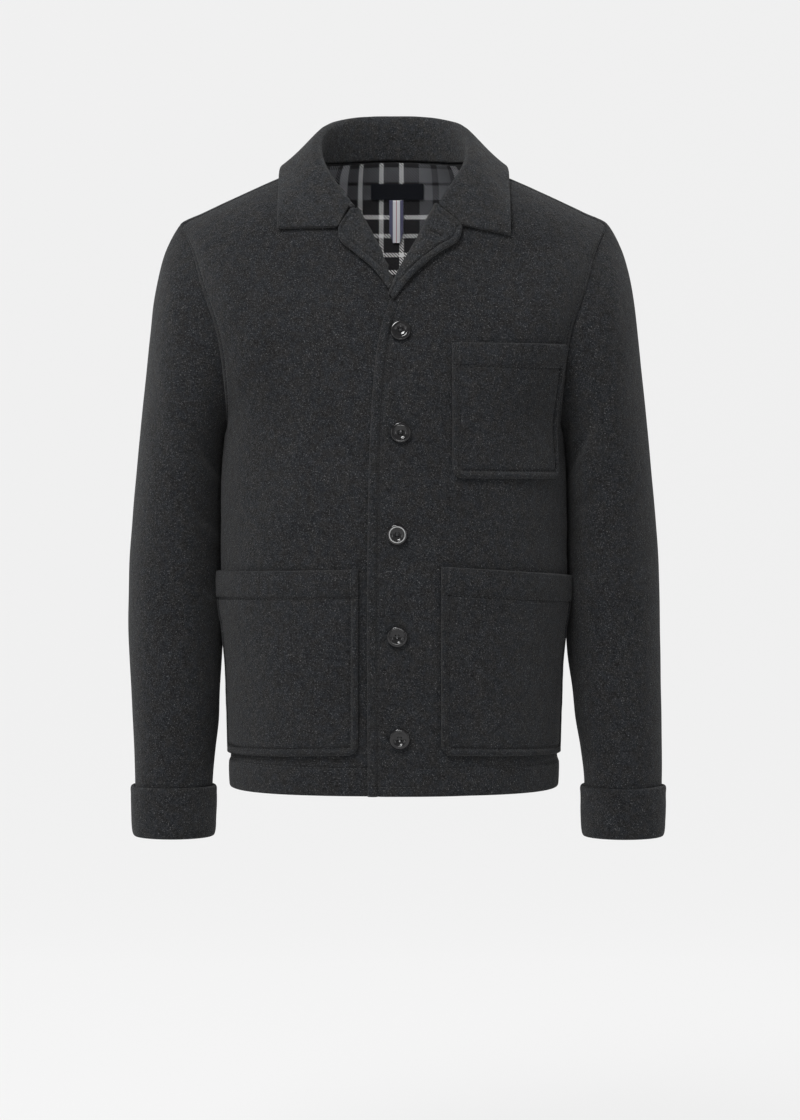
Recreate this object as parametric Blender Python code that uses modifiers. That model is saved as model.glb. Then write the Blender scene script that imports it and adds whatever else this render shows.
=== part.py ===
# A wool chore jacket, filled out and hollow, with a camp collar, patch pockets and turned-back cuffs.
# Sizes are in millimetres and become metres as each mesh is made. The wearer's left is +X, the front is -Y.
# The origin is at the centre of the neck opening, level with the tops of the shoulder seams.
import math

import bmesh
import bpy
import mathutils
import numpy as np

MM = 0.001
WALL = 2.8
SEAM_GAP = 0.3
FOLDED_CLOTH = 5.0
PATCH_WALL = 3.2
PATCH_BAND = 4.4

HEM_Z = -665.0
SIDE_ROWS = 9
ARMHOLE_ROWS = 10
SHOULDER_ROWS = 6
FRONT_COLUMNS = 14
BACK_COLUMNS = 10
SLEEVE_STEPS = 19
SLEEVE_BLEND_STEPS = 5

# Side seam, hem to armpit: share of its length, x, y, z
SIDE_SEAM = (
    (0.00, 175.0, 8.0, HEM_Z),
    (0.17, 177.0, 8.0, -600.0),
    (0.37, 179.0, 8.0, -528.0),
    (0.62, 182.0, 9.0, -434.0),
    (0.82, 180.5, 10.0, -360.0),
    (1.00, 179.0, 10.0, -292.0),
)
# Armhole seam from the shoulder tip down the front to the armpit, then up the back: x, y, z
SHOULDER_TIP = (229.0, 8.0, -66.0)
ARMPIT = SIDE_SEAM[-1][1:]
ARMHOLE_FRONT = (
    (215.0, -30.0, -95.0), (204.0, -58.0, -133.0), (187.0, -72.0, -183.0), (179.0, -57.0, -243.0),
)
ARMHOLE_BACK = (
    (182.5, 66.0, -257.0), (190.0, 91.0, -208.0), (202.0, 88.0, -152.0), (216.0, 58.0, -100.0),
)
NECK_POINT = (82.0, 0.0, 0.0)
SHOULDER_ARCH = 1.5

# Rows across half a front or half the back, hem to neck. A row is one curve from the middle of the body to
# the outer edge: key 0-1 side seam, 1-2 armhole, 2-3 shoulder; middle y, z; how far the curve runs straight
# at each end; its direction where it meets the outer edge
FRONT_BODY = (
    (0.00, -136.0, HEM_Z, 128.0, 98.0, -0.04, 0.999, 0.0),
    (0.30, -140.0, -553.0, 127.0, 94.0, -0.05, 0.999, 0.0),
    (0.65, -140.0, -424.0, 126.0, 94.0, -0.07, 0.998, 0.0),
    (1.00, -137.0, -300.0, 124.0, 92.0, -0.03, 1.0, 0.0),
    (1.22, -133.0, -252.0, 122.0, 50.0, 0.28, 0.96, 0.0),
    (1.50, -126.0, -207.0, 118.0, 46.0, 0.50, 0.86, 0.05),
    (1.75, -115.0, -165.0, 116.0, 58.0, 0.45, 0.88, 0.12),
    (2.00, -102.0, -118.0, 112.0, 68.0, 0.22, 0.95, 0.22),
    (2.50, -95.0, -92.0, 78.0, 64.0, 0.03, 0.99, 0.14),
    (3.00, -88.0, -70.0, 50.0, 50.0, -0.03, 0.95, 0.32),
)
BACK_BODY = (
    (0.00, 126.0, HEM_Z, 122.0, 78.0, 0.07, -0.998, 0.0),
    (0.30, 122.0, -553.0, 126.0, 78.0, 0.07, -0.998, 0.0),
    (0.65, 119.0, -424.0, 128.0, 80.0, 0.07, -0.998, 0.0),
    (0.85, 121.5, -350.0, 128.0, 88.0, 0.01, -1.0, 0.0),
    (1.00, 124.0, -296.0, 128.0, 96.0, -0.09, -0.996, 0.0),
    (1.22, 126.5, -243.0, 122.0, 68.0, 0.00, -1.0, 0.0),
    (1.50, 126.5, -192.0, 114.0, 58.0, 0.40, -0.92, 0.02),
    (1.75, 122.0, -138.0, 108.0, 58.0, 0.42, -0.90, 0.06),
    (2.00, 111.0, -84.0, 104.0, 62.0, 0.22, -0.96, 0.10),
    (2.50, 95.0, -36.0, 74.0, 58.0, 0.05, -0.99, 0.04),
    (3.00, 78.0, 5.0, 44.0, 40.0, 0.00, -0.995, 0.06),
)

# Free edge of each front, hem to the point where the lapel starts to roll, then the roll line up to the
# collar: z, x. The right front is measured on its own side, so its edge runs under the left one.
LEFT_EDGE = (
    (HEM_Z, -27.0), (-400.0, -27.0), (-305.0, -25.0), (-240.0, -21.5), (-196.0, -16.5), (-172.0, -11.0),
    (-152.0, -4.0), (-137.0, 1.5), (-122.0, 9.0), (-104.0, 20.0), (-54.0, 46.5), (-40.0, 53.0),
)
RIGHT_EDGE = (
    (HEM_Z, -36.0), (-400.0, -36.0), (-260.0, -33.0), (-205.0, -24.0), (-165.0, -12.0), (-137.0, 0.5),
    (-120.0, 8.0), (-95.0, 21.0), (-54.0, 42.5), (-40.0, 49.0),
)
LAP_FULL_X = 42.0
LAP_NONE_X = 78.0

# Sleeve, armhole to wrist: x and z of its outer line, x and z of its inner line, middle y, front y, back y
SLEEVE = (
    (229.0, -66.0, 179.0, -292.0, 9.0, -72.0, 92.0),
    (238.5, -81.5, 180.6, -296.0, 10.0, -73.0, 92.0),
    (248.5, -105.0, 181.3, -303.0, 11.0, -73.0, 92.0),
    (257.0, -146.0, 181.8, -314.0, 12.0, -71.0, 91.0),
    (262.5, -195.0, 182.4, -334.0, 13.0, -68.0, 89.0),
    (269.5, -262.0, 183.4, -363.0, 13.0, -64.0, 86.0),
    (276.5, -337.0, 183.9, -403.0, 12.0, -59.0, 80.0),
    (283.0, -418.0, 184.2, -455.0, 9.0, -56.0, 72.0),
    (284.5, -500.0, 183.6, -515.0, 4.0, -55.0, 62.0),
    (283.0, -568.0, 187.0, -572.0, -1.0, -53.0, 52.0),
    (282.0, -619.0, 194.0, -620.0, -5.0, -51.0, 43.0),
    (281.0, -662.0, 198.5, -662.0, -7.0, -50.0, 38.0),
    (279.5, -711.0, 200.0, -711.0, -8.0, -49.0, 35.0),
)
CUFF_BOTTOM_Z = -719.0
CUFF_TOP_Z = -665.0
# A cuff's section: its outside from the top edge round under the sleeve and up inside it, and its inside in
# matching steps: height above the cuff's bottom, distance out from the sleeve's outside
CUFF_OUTSIDE = (
    (54.0, 3.7), (51.5, 4.5), (26.0, 5.3), (7.0, 4.5), (2.0, 2.7),
    (0.0, 1.3), (0.0, -WALL), (2.2, -4.4), (7.4, -4.4),
)
CUFF_INSIDE = (
    (54.0, 0.7), (51.5, 0.7), (26.0, 0.7), (9.0, 0.7), (8.2, 0.7),
    (7.6, 0.7), (7.6, 0.5), (7.5, 0.2), (7.5, -WALL),
)
# How far both wrists hang to the wearer's left
WRIST_SWAY = 4.8
SWAY_FROM_Z = -470.0
SWAY_TO_Z = -665.0

# Soft folds on the sleeves: place down the sleeve, place round it, depth, length along, length round
SLEEVE_FOLDS = (
    (0.30, 0.30, 3.2, 0.050, 0.16),
    (0.44, 0.22, 2.6, 0.040, 0.14),
    (0.62, 0.26, 2.4, 0.040, 0.15),
    (0.74, 0.55, 2.6, 0.040, 0.18),
    (0.50, 0.74, 3.0, 0.050, 0.15),
    (0.35, 0.80, 3.2, 0.050, 0.14),
)

# Collar on the wearer's left, back to front: share of its length; top of the roll x, y, z; free edge x, y, z
COLLAR = (
    (0.00, 0.0, 80.0, 53.0, 0.0, 112.0, -10.0),
    (0.16, 31.0, 76.0, 52.5, 41.0, 106.0, -11.0),
    (0.34, 59.0, 56.0, 46.5, 84.0, 80.0, -13.0),
    (0.50, 75.0, 25.0, 37.0, 108.0, 42.0, -8.5),
    (0.64, 83.0, -7.0, 22.0, 120.5, 4.0, -6.5),
    (0.80, 81.0, -40.0, -1.0, 122.0, -40.0, -34.0),
    (0.92, 68.0, -62.0, -25.0, 122.5, -70.0, -60.0),
)
# The collar's front end on each side: top of the roll, the notch where it meets the lapel, its point: x, z
COLLAR_END = {
    1: ((51.0, -45.0), (70.5, -71.5), (122.5, -82.0)),
    -1: ((49.0, -45.0), (58.0, -74.0), (122.5, -75.0)),
}
COLLAR_STATIONS = 15
COLLAR_ROLL = 6.0
COLLAR_LIFT = 5.0
COLLAR_END_FROM = 0.84
# From this share on, the free edge lies just in front of the front
COLLAR_LIES_FROM = 0.7
STAND_IN = 1.4
STAND_UP = 1.4
STAND_FRONT = (0.0, -3.5, 2.0)

# Lapels, collar to break: share of the length; z of the roll line; free edge x, z. Each on its own side.
LAPELS = {
    1: (
        (0.00, -56.0, 71.0, -77.0),
        (0.12, -64.0, 68.5, -87.0),
        (0.40, -84.0, 46.0, -103.0),
        (0.75, -114.0, 21.0, -124.0),
        (1.00, -134.0, 6.5, -138.0),
    ),
    -1: (
        (0.00, -56.5, 58.0, -79.5),
        (0.12, -64.0, 56.5, -87.5),
        (0.40, -84.0, 41.0, -102.0),
        (0.75, -108.0, 22.0, -118.0),
        (1.00, -124.0, 11.0, -128.0),
    ),
}
LAPEL_EDGES = {1: LEFT_EDGE, -1: RIGHT_EDGE}
LAPEL_WALL = 4.4
LAPEL_CLEAR = 0.9
LAPEL_RISE = 1.1
LAPEL_THINS = 0.35
LAPEL_ROWS = 8
LAPEL_COLUMNS = 5
# Where the lapel passes round the front's edge, as turns from the edge's own direction, in degrees
LAPEL_ROLL_TURNS = (-50, -15, 20, 55)

# Patch pockets: name, side, x of the inner edge, width at the top and at the bottom, top z, bottom z, how
# much lower the top and the bottom are at the outer edge, depth of the band
POCKETS = (
    ("chest_pocket", 1, 60.0, 129.0, 141.0, -196.0, -336.0, 0.0, 2.0, 24.0),
    ("hip_pocket_left", 1, 48.5, 196.0, 196.0, -427.0, -622.0, 14.0, 8.0, 29.0),
    ("hip_pocket_right", -1, 36.5, 208.0, 208.0, -430.0, -622.0, 6.0, 8.0, 29.0),
)
POCKET_CORNER = 11.0
# Rounded bottom corners of a pocket: height above its bottom, how much shorter the row is at each end
CORNER_ROWS = ((POCKET_CORNER, 0.0), (4.5, 2.1), (1.6, 5.3), (0.0, 10.5))
BAND_STEP = 2.0
POCKET_CLEAR = 0.8
POCKET_ROW = 20.0

BUTTON_RADIUS = 10.7
# Half a button's section, from the middle of its top round to the middle of its underside: radius, height
BUTTON_PROFILE = (
    (0.0, 2.2), (6.3, 2.3), (7.5, 3.3), (8.9, 3.7), (10.1, 3.2), (BUTTON_RADIUS, 2.0),
    (9.9, 0.5), (8.2, 0.0), (0.0, 0.0),
)
BUTTON_STEPS = 20
BUTTON_X = (7.0, 7.0, 3.5, 3.5, 6.0)
BUTTON_TOP_Z = -183.5
BUTTON_PITCH = 105.3
BUTTON_CLEAR = 0.6
LABEL_SIZE = (58.0, 17.0, 0.9)
LABEL_X = 3.5
LABEL_TOP_Z = -18.0
LOOP_SIZE = (15.5, 46.0, 1.4)
LOOP_X = 2.5
LOOP_TOP_Z = LABEL_TOP_Z - LABEL_SIZE[1] - 0.6
TRIM_CLEAR = 0.4
TRIM_ROWS = 4

COLOURS = {
    "wool": ((0.030, 0.032, 0.034), 0.95),
    "button": ((0.008, 0.008, 0.009), 0.22),
    "label": ((0.006, 0.007, 0.010), 0.70),
    "ribbon": ((0.55, 0.56, 0.60), 0.75),
}


# Smooth curves through the rows of a table
def through(keys, values, at):
    keys = np.asarray(keys, float)
    values = np.asarray(values, float)
    slopes = np.gradient(values, keys, axis=0)
    at = np.clip(np.atleast_1d(at), keys[0], keys[-1])
    index = np.clip(np.searchsorted(keys, at, side="right") - 1, 0, len(keys) - 2)
    span = (keys[index + 1] - keys[index])[:, None]
    t = (at[:, None] - keys[index][:, None]) / span
    start, end = values[index], values[index + 1]
    return (
        (2 * t**3 - 3 * t**2 + 1) * start
        + (t**3 - 2 * t**2 + t) * span * slopes[index]
        + (3 * t**2 - 2 * t**3) * end
        + (t**3 - t**2) * span * slopes[index + 1]
    )


def row_of(table, at):
    table = np.asarray(table, float)
    return through(table[:, 0], table[:, 1:], at)[0]


def unit(vectors):
    vectors = np.asarray(vectors, float)
    return vectors / np.maximum(np.linalg.norm(vectors, axis=-1, keepdims=True), 1e-9)


def ease(t):
    t = np.clip(t, 0.0, 1.0)
    return t * t * (3 - 2 * t)


def half_seam(points):
    points = np.asarray(points, float)
    steps = np.linalg.norm(np.diff(points, axis=0), axis=1)
    return points, np.concatenate([[0.0], np.cumsum(steps) / steps.sum()])


# The armhole seam as a closed curve: -1 at the shoulder tip, through the front to 0 at the armpit, then up
# the back to 1 at the tip again
def armhole(at):
    front, front_keys = half_seam((SHOULDER_TIP,) + ARMHOLE_FRONT + (ARMPIT,))
    back, back_keys = half_seam((ARMPIT,) + ARMHOLE_BACK + (SHOULDER_TIP,))
    keys = np.concatenate([[back_keys[-2] - 3], front_keys - 1, back_keys[1:], [front_keys[1] + 1]])
    points = np.concatenate([back[-2:-1], front, back[1:], front[1:2]])
    keys[0] = -1 - (1 - back_keys[-2])
    return through(keys, points, at)


# The outer edge of a body row
def outer_edge(key, back):
    if key <= 1:
        return row_of(SIDE_SEAM, key)
    if key <= 2:
        return armhole(key - 1 if back else 1 - key)[0]
    tip, neck = np.array(SHOULDER_TIP), np.array(NECK_POINT)
    t = key - 2
    return tip + (neck - tip) * t + np.array((0.0, 0.0, SHOULDER_ARCH * math.sin(math.pi * t)))


# A body row, from the middle outwards: points along it and the length up to each
def body_row(key, back, samples=61):
    y, z, straight_in, straight_out, *heading = row_of(BACK_BODY if back else FRONT_BODY, key)
    start, end = np.array((0.0, y, z)), outer_edge(key, back)
    near = start + np.array((straight_in, 0.0, 0.0))
    far = end - unit(heading) * straight_out
    t = np.linspace(0, 1, samples)[:, None]
    points = (1 - t) ** 3 * start + 3 * (1 - t) ** 2 * t * near + 3 * (1 - t) * t**2 * far + t**3 * end
    lengths = np.concatenate([[0.0], np.cumsum(np.linalg.norm(np.diff(points, axis=0), axis=1))])
    return points, lengths


# The point of a row at a distance from its middle, which is negative past the middle
def on_row(row, distance):
    points, lengths = row
    point = np.array([np.interp(abs(distance), lengths, points[:, i]) for i in range(3)])
    if distance < 0:
        point[0] = -point[0]
    return point


def find(low, high, wanted):
    for _ in range(40):
        middle = (low + high) / 2
        if wanted(middle):
            high = middle
        else:
            low = middle
    return (low + high) / 2


def distance_at_x(row, x_of_z):
    return find(-60.0, row[1][-1], lambda a: on_row(row, a)[0] > x_of_z(on_row(row, a)[2]))


def edge_x(edge, z):
    table = np.array(sorted(edge))
    return through(table[:, 0], table[:, 1:], z)[0][0]


def body_keys():
    return np.concatenate([
        np.linspace(0, 1, SIDE_ROWS + 1)[:-1],
        np.linspace(1, 2, ARMHOLE_ROWS + 1)[:-1],
        np.linspace(2, 3, SHOULDER_ROWS + 1),
    ])


# The outside of one front, as rows of points on the wearer's left
def front_grid(edge):
    grid = []
    for key in body_keys():
        row = body_row(key, False)
        start = distance_at_x(row, lambda z: edge_x(edge, z))
        end = row[1][-1]
        grid.append([on_row(row, start + (end - start) * t) for t in np.linspace(0, 1, FRONT_COLUMNS + 1)])
    return np.array(grid)


def back_grid():
    grid = []
    for key in body_keys():
        row = body_row(key, True)
        half = [on_row(row, row[1][-1] * t) for t in np.linspace(0, 1, BACK_COLUMNS + 1)]
        grid.append([point * (-1, 1, 1) for point in half[:0:-1]] + half)
    return np.array(grid)


# Outward unit normals of a grid of points. Rows go up or along, columns go across, and a closed grid joins
# its last column to its first.
def normals(grid, closed=False, flip=False):
    along = np.gradient(grid, axis=0)
    if closed:
        across = (np.roll(grid, -1, axis=1) - np.roll(grid, 1, axis=1)) / 2
    else:
        across = np.gradient(grid, axis=1)
    found = unit(np.cross(across, along))
    return -found if flip else found


# Evens a grid of points without shrinking it, and leaves its four edges as they are
def evened(grid, passes=9):
    for _ in range(passes):
        for amount in (0.5, -0.52):
            around = (grid[:-2, 1:-1] + grid[2:, 1:-1] + grid[1:-1, :-2] + grid[1:-1, 2:]) / 4
            grid = grid.copy()
            grid[1:-1, 1:-1] += amount * (around - grid[1:-1, 1:-1])
    return grid


# The sleeve rings of the wearer's left side, from the armhole to the wrist
def sleeve_grid():
    around = np.linspace(-1, 1, 2 * ARMHOLE_ROWS + 1)[:-1]
    angles = (around + 1) * math.pi
    rows = through(np.linspace(0, 1, len(SLEEVE)), SLEEVE, np.linspace(0, 1, SLEEVE_STEPS + 1))
    seam = armhole(around)

    def ellipse(row, front, back):
        outer_x, outer_z, inner_x, inner_z, y = row[:5]
        outer, inner = np.array((outer_x, y, outer_z)), np.array((inner_x, y, inner_z))
        centre, reach = (outer + inner) / 2, (outer - inner) / 2
        side = np.where((angles < math.pi)[:, None], front - centre, back - centre)
        return centre + reach * np.cos(angles)[:, None] + side * np.abs(np.sin(angles))[:, None]

    def sides(row):
        middle_x, middle_z = (row[0] + row[2]) / 2, (row[1] + row[3]) / 2
        return np.array(((middle_x, row[5], middle_z), (middle_x, row[6], middle_z)))

    quarter = ARMHOLE_ROWS // 2
    seam_sides = seam[[quarter, -quarter]]
    seam_shape = ellipse(rows[0], *seam_sides)
    grid = []
    for row in rows:
        blend = 1 - ease(len(grid) / SLEEVE_BLEND_STEPS)
        front, back = sides(row) + (seam_sides - sides(rows[0])) * blend
        grid.append(ellipse(row, front, back) + (seam - seam_shape) * blend)
    grid = np.array(grid)
    grid[0] = seam
    out = normals(grid, closed=True)
    down = np.linspace(0, 1, len(grid))[:, None]
    turn = (around[None, :] + 1) / 2
    for at, place, depth, length, width in SLEEVE_FOLDS:
        apart = np.minimum(np.abs(turn - place), 1 - np.abs(turn - place))
        dent = depth * np.exp(-(((down - at - 0.25 * (turn - place)) / length) ** 2) - (apart / width) ** 2)
        grid = grid - out * (dent * ease(down / 0.15))[..., None]
    return grid


# Moves the points of an edge by half the seam gap, towards the next points inside the piece
def draw_back(edge, inside):
    along = unit(np.gradient(edge, axis=0))
    inward = inside - edge
    inward = inward - along * (inward * along).sum(axis=1, keepdims=True)
    return edge + unit(inward) * (SEAM_GAP / 2)


# The shared direction through the wall at a seam, and how far the inner edge lies along it
def seam_wall(*facing):
    direction = unit(sum(facing))
    slant = sum((direction * one).sum(axis=-1, keepdims=True) for one in facing) / len(facing)
    return direction * (WALL / np.maximum(slant, 0.62))


# A closed solid between an outer and an inner grid of the same shape
def solid(name, outer, inner, closed=False):
    rows, columns = outer.shape[:2]
    mesh = bpy.data.meshes.new(name)
    points = np.concatenate([outer.reshape(-1, 3), inner.reshape(-1, 3)]) * MM
    shift = rows * columns

    def at(i, j):
        return i * columns + j % columns

    faces = []
    last = columns if closed else columns - 1
    for i in range(rows - 1):
        for j in range(last):
            quad = (at(i, j), at(i, j + 1), at(i + 1, j + 1), at(i + 1, j))
            faces.append(quad)
            faces.append(tuple(k + shift for k in reversed(quad)))
    ends = [(at(i, j), at(i, j + 1)) for i in (0, rows - 1) for j in range(last)]
    if not closed:
        ends += [(at(i, j), at(i + 1, j)) for j in (0, columns - 1) for i in range(rows - 1)]
    faces += [(a, b, b + shift, a + shift) for a, b in ends]
    mesh.from_pydata(points.tolist(), [], faces)
    work = bmesh.new()
    work.from_mesh(mesh)
    bmesh.ops.recalc_face_normals(work, faces=work.faces)
    bmesh.ops.triangulate(work, faces=work.faces, quad_method="SHORT_EDGE")
    work.to_mesh(mesh)
    work.free()
    return mesh


def material(name):
    found = bpy.data.materials.get(name)
    if found:
        return found
    colour, roughness = COLOURS[name]
    found = bpy.data.materials.new(name)
    found.use_nodes = True
    shader = found.node_tree.nodes["Principled BSDF"]
    shader.inputs["Base Color"].default_value = (*colour, 1)
    shader.inputs["Roughness"].default_value = roughness
    return found


def add(collection, name, mesh, finish):
    item = bpy.data.objects.new(name, mesh)
    mesh.materials.append(material(finish))
    mesh.shade_smooth()
    mesh.set_sharp_from_angle(angle=math.radians(40))
    collection.objects.link(item)
    return item


def mirrored(grid):
    return grid * (-1, 1, 1)


# A sleeve or cuff on its own side, with its wrist hanging a little to the wearer's left
def swayed(grid, side):
    grid = grid if side > 0 else mirrored(grid)
    share = ease((SWAY_FROM_Z - grid[..., 2]) / (SWAY_FROM_Z - SWAY_TO_Z))
    return grid + WRIST_SWAY * share[..., None] * np.array((1.0, 0, 0))


# Left and right fronts, back and sleeves, which share the walls of their seams
def body(collection):
    left, right = evened(front_grid(LEFT_EDGE)), evened(front_grid(RIGHT_EDGE))
    lap = (WALL + SEAM_GAP) * ease((LAP_NONE_X - left[..., 0]) / (LAP_NONE_X - LAP_FULL_X))
    left_facing = normals(left)
    left = left + left_facing * lap[..., None]
    back, sleeve = evened(back_grid()), sleeve_grid()
    front_facing = {1: normals(left), -1: normals(right)}
    back_facing = normals(back, flip=True)
    sleeve_facing = normals(sleeve, closed=True)

    arm = slice(SIDE_ROWS, SIDE_ROWS + ARMHOLE_ROWS + 1)
    front_side = front_facing[-1][:, -1]
    back_side = back_facing[:, -1]
    ring = sleeve_facing[0]
    ring_front = ring[ARMHOLE_ROWS::-1]
    ring_back = np.concatenate([ring[ARMHOLE_ROWS:], ring[:1]])
    walls_front = seam_wall(front_side, back_side)
    walls_back = walls_front.copy()
    walls_front[arm] = seam_wall(front_side[arm], ring_front)
    walls_back[arm] = seam_wall(back_side[arm], ring_back)
    for corner in (arm.start, arm.stop - 1):
        met = ring_front[0 if corner == arm.start else -1]
        walls_front[corner] = walls_back[corner] = seam_wall(front_side[corner], back_side[corner], met)
    walls_ring = np.concatenate([walls_front[arm][::-1], walls_back[arm][1:-1]])

    grids = {}
    for side, grid in ((1, left), (-1, right)):
        inner = grid - front_facing[side] * WALL
        inner[:, -1] = grid[:, -1] - walls_front
        outer = grid.copy()
        outer[:, -1] = draw_back(grid[:, -1], grid[:, -2])
        inner[:, -1] = draw_back(inner[:, -1], inner[:, -2])
        name = "front_left" if side > 0 else "front_right"
        turn = (lambda g: g) if side > 0 else mirrored
        add(collection, name, solid(name, turn(outer), turn(inner)), "wool")
        grids[side] = grid

    inner = back - back_facing * WALL
    inner[:, -1] = back[:, -1] - walls_back
    inner[:, 0] = mirrored(inner[:, -1])
    outer = back.copy()
    for grid in (outer, inner):
        grid[:, -1] = draw_back(grid[:, -1], grid[:, -2])
        grid[:, 0] = mirrored(grid[:, -1])
    add(collection, "back", solid("back", outer, inner), "wool")
    grids["back"] = (back, inner)

    inner = sleeve - sleeve_facing * WALL
    inner[0] = sleeve[0] - walls_ring
    outer = sleeve.copy()
    for grid in (outer, inner):
        looped = np.concatenate([grid[0], grid[0][:2]])
        next_ring = np.concatenate([grid[1], grid[1][:2]])
        moved = draw_back(looped, next_ring)
        grid[0] = np.concatenate([moved[-2:-1], moved[1:-2]])
    for side, name in ((1, "sleeve_left"), (-1, "sleeve_right")):
        mesh = solid(name, swayed(outer, side), swayed(inner, side), closed=True)
        add(collection, name, mesh, "wool")
    grids["sleeve"] = sleeve
    return grids


# Turned-back cuffs: a band round the end of the sleeve that closes under it
def cuffs(collection, sleeve):
    facing = normals(sleeve, closed=True)
    wrist, out = sleeve[-1], facing[-1].copy()
    out[:, 2] = 0
    out = unit(out)
    top_scale = (CUFF_TOP_Z - wrist[0][2]) / (sleeve[-2][0][2] - wrist[0][2])

    def ring(z, away):
        share = (z - wrist[0][2]) / (CUFF_TOP_Z - wrist[0][2])
        lean = (sleeve[-2] - wrist) * top_scale * share
        points = wrist + lean + out * away
        points[:, 2] = z
        return points

    outer = np.array([ring(CUFF_BOTTOM_Z + height, away) for height, away in CUFF_OUTSIDE])
    inner = np.array([ring(CUFF_BOTTOM_Z + height, away) for height, away in CUFF_INSIDE])
    for side, name in ((1, "cuff_left"), (-1, "cuff_right")):
        mesh = solid(name, swayed(outer, side), swayed(inner, side), closed=True)
        add(collection, name, mesh, "wool")


# The points of a panel's columns at one height
def level_line(panel, z):
    columns = panel.swapaxes(0, 1)
    return np.array([[np.interp(z, column[:, 2], column[:, i]) for i in range(3)] for column in columns])


# A point on a front at a given x and z, on the wearer's left
def front_point(panel, x, z):
    line = level_line(panel, z)
    return np.array([np.interp(x, line[:, 0], line[:, i]) for i in range(3)])


# One folded band round the neck: up the stand, over the roll and down the fall
def collar(collection, grids, back):
    halves = []
    for side in (1, -1):
        back_top = back[0][-1][BACK_COLUMNS:]
        front_top = grids[side][-1][::-1]
        seam = np.concatenate([back_top, front_top[1:]])
        steps = np.concatenate([[0.0], np.cumsum(np.linalg.norm(np.diff(seam, axis=0), axis=1))])
        roll_end, notch, tip = (front_point(grids[side], *place) for place in COLLAR_END[side])
        for point in (roll_end, notch, tip):
            point[1] -= COLLAR_LIFT
        table = np.array([*COLLAR, (1.0, *roll_end, *tip)])
        for row in table[table[:, 0] > COLLAR_LIES_FROM]:
            row[5] = front_point(grids[side], row[4], row[6])[1] - COLLAR_LIFT
        stations = np.linspace(0, 1, COLLAR_STATIONS + 1)
        rows = through(table[:, 0], table[:, 1:], stations)
        middle = []
        for share, row in zip(stations, rows):
            start = np.array([np.interp(share * steps[-1], steps, seam[:, i]) for i in range(3)])
            start = start * (1 - STAND_IN / np.hypot(*start[:2])) ** np.array((1, 1, 0))
            end_share = ease((share - COLLAR_END_FROM) / (1 - COLLAR_END_FROM))
            start += np.array((0, 0, STAND_UP)) + np.array(STAND_FRONT) * end_share
            middle.append(collar_section(start, row[:3], row[3:], notch, end_share))
        halves.append(np.array(middle))
    middle = np.concatenate([mirrored(halves[1][:0:-1]), halves[0]])
    facing = normals(middle)
    thick = FOLDED_CLOTH / 2
    add(collection, "collar", solid("collar", middle + facing * thick, middle - facing * thick), "wool")


def collar_section(start, roll, edge, notch, end_share):
    out = unit((edge - start) * (1, 1, 0))
    rise = np.array((0, 0, 1.0))
    lift = max(roll[2] - start[2], 1.0)
    bend = min(COLLAR_ROLL, lift * 0.6)
    stand = [start, start + rise * lift * 0.35, roll - out * bend, roll]
    fall = [roll, roll + out * bend * 1.2, edge + (roll - edge) * 0.42 - out * 3, edge]
    section = [bezier(stand, t) for t in (0, 0.35, 0.7)]
    for t in (0, 0.2, 0.4, 0.6, 0.8, 1.0):
        round_fall = bezier(fall, t)
        if t < 0.4:
            end_fall = roll + (notch - roll) * t / 0.4
        else:
            end_fall = notch + (edge - notch) * (t - 0.4) / 0.6
        section.append(round_fall + (end_fall - round_fall) * end_share)
    return section


def bezier(points, t):
    a, b, c, d = points
    return (1 - t) ** 3 * a + 3 * (1 - t) ** 2 * t * b + 3 * (1 - t) * t**2 * c + t**3 * d


# The turned-out top of each facing: it rolls round the edge of the front and lies on its outside
def lapels(collection, grids):
    for side, name in ((1, "lapel_left"), (-1, "lapel_right")):
        base, half = [], []
        for share in np.linspace(0, 1, LAPEL_ROWS):
            roll_z, free_x, free_z = row_of(LAPELS[side], share)
            roll_x = edge_x(LAPEL_EDGES[side], roll_z)
            across = np.linspace(0, 1, LAPEL_COLUMNS)
            base.append([
                front_point(grids[side], roll_x + (free_x - roll_x) * t, roll_z + (free_z - roll_z) * t)
                for t in across
            ])
            half.append(LAPEL_WALL / 2 * (1 - LAPEL_THINS * ease((share - 0.6) / 0.4)))
        base, half = np.array(base), np.array(half)[:, None]
        facing = normals(base)
        facing = np.where((facing[..., 1] > 0)[..., None], -facing, facing)
        bulge = LAPEL_RISE * 4 * across * (1 - across)
        middle = base + facing * (LAPEL_CLEAR + half + bulge)[..., None]
        inward = unit(base[:, 0] - base[:, 1])
        centre = base[:, 0] - facing[:, 0] * WALL / 2
        radius = WALL / 2 + LAPEL_CLEAR + half
        roll = [
            centre + radius * (inward * math.cos(turn) + facing[:, 0] * math.sin(turn))
            for turn in np.radians(LAPEL_ROLL_TURNS)
        ]
        middle = np.concatenate([np.stack(roll, axis=1), middle], axis=1)
        out = normals(middle) * half[..., None]
        turn = (lambda g: g) if side > 0 else mirrored
        add(collection, name, solid(name, turn(middle + out), turn(middle - out)), "wool")


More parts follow.
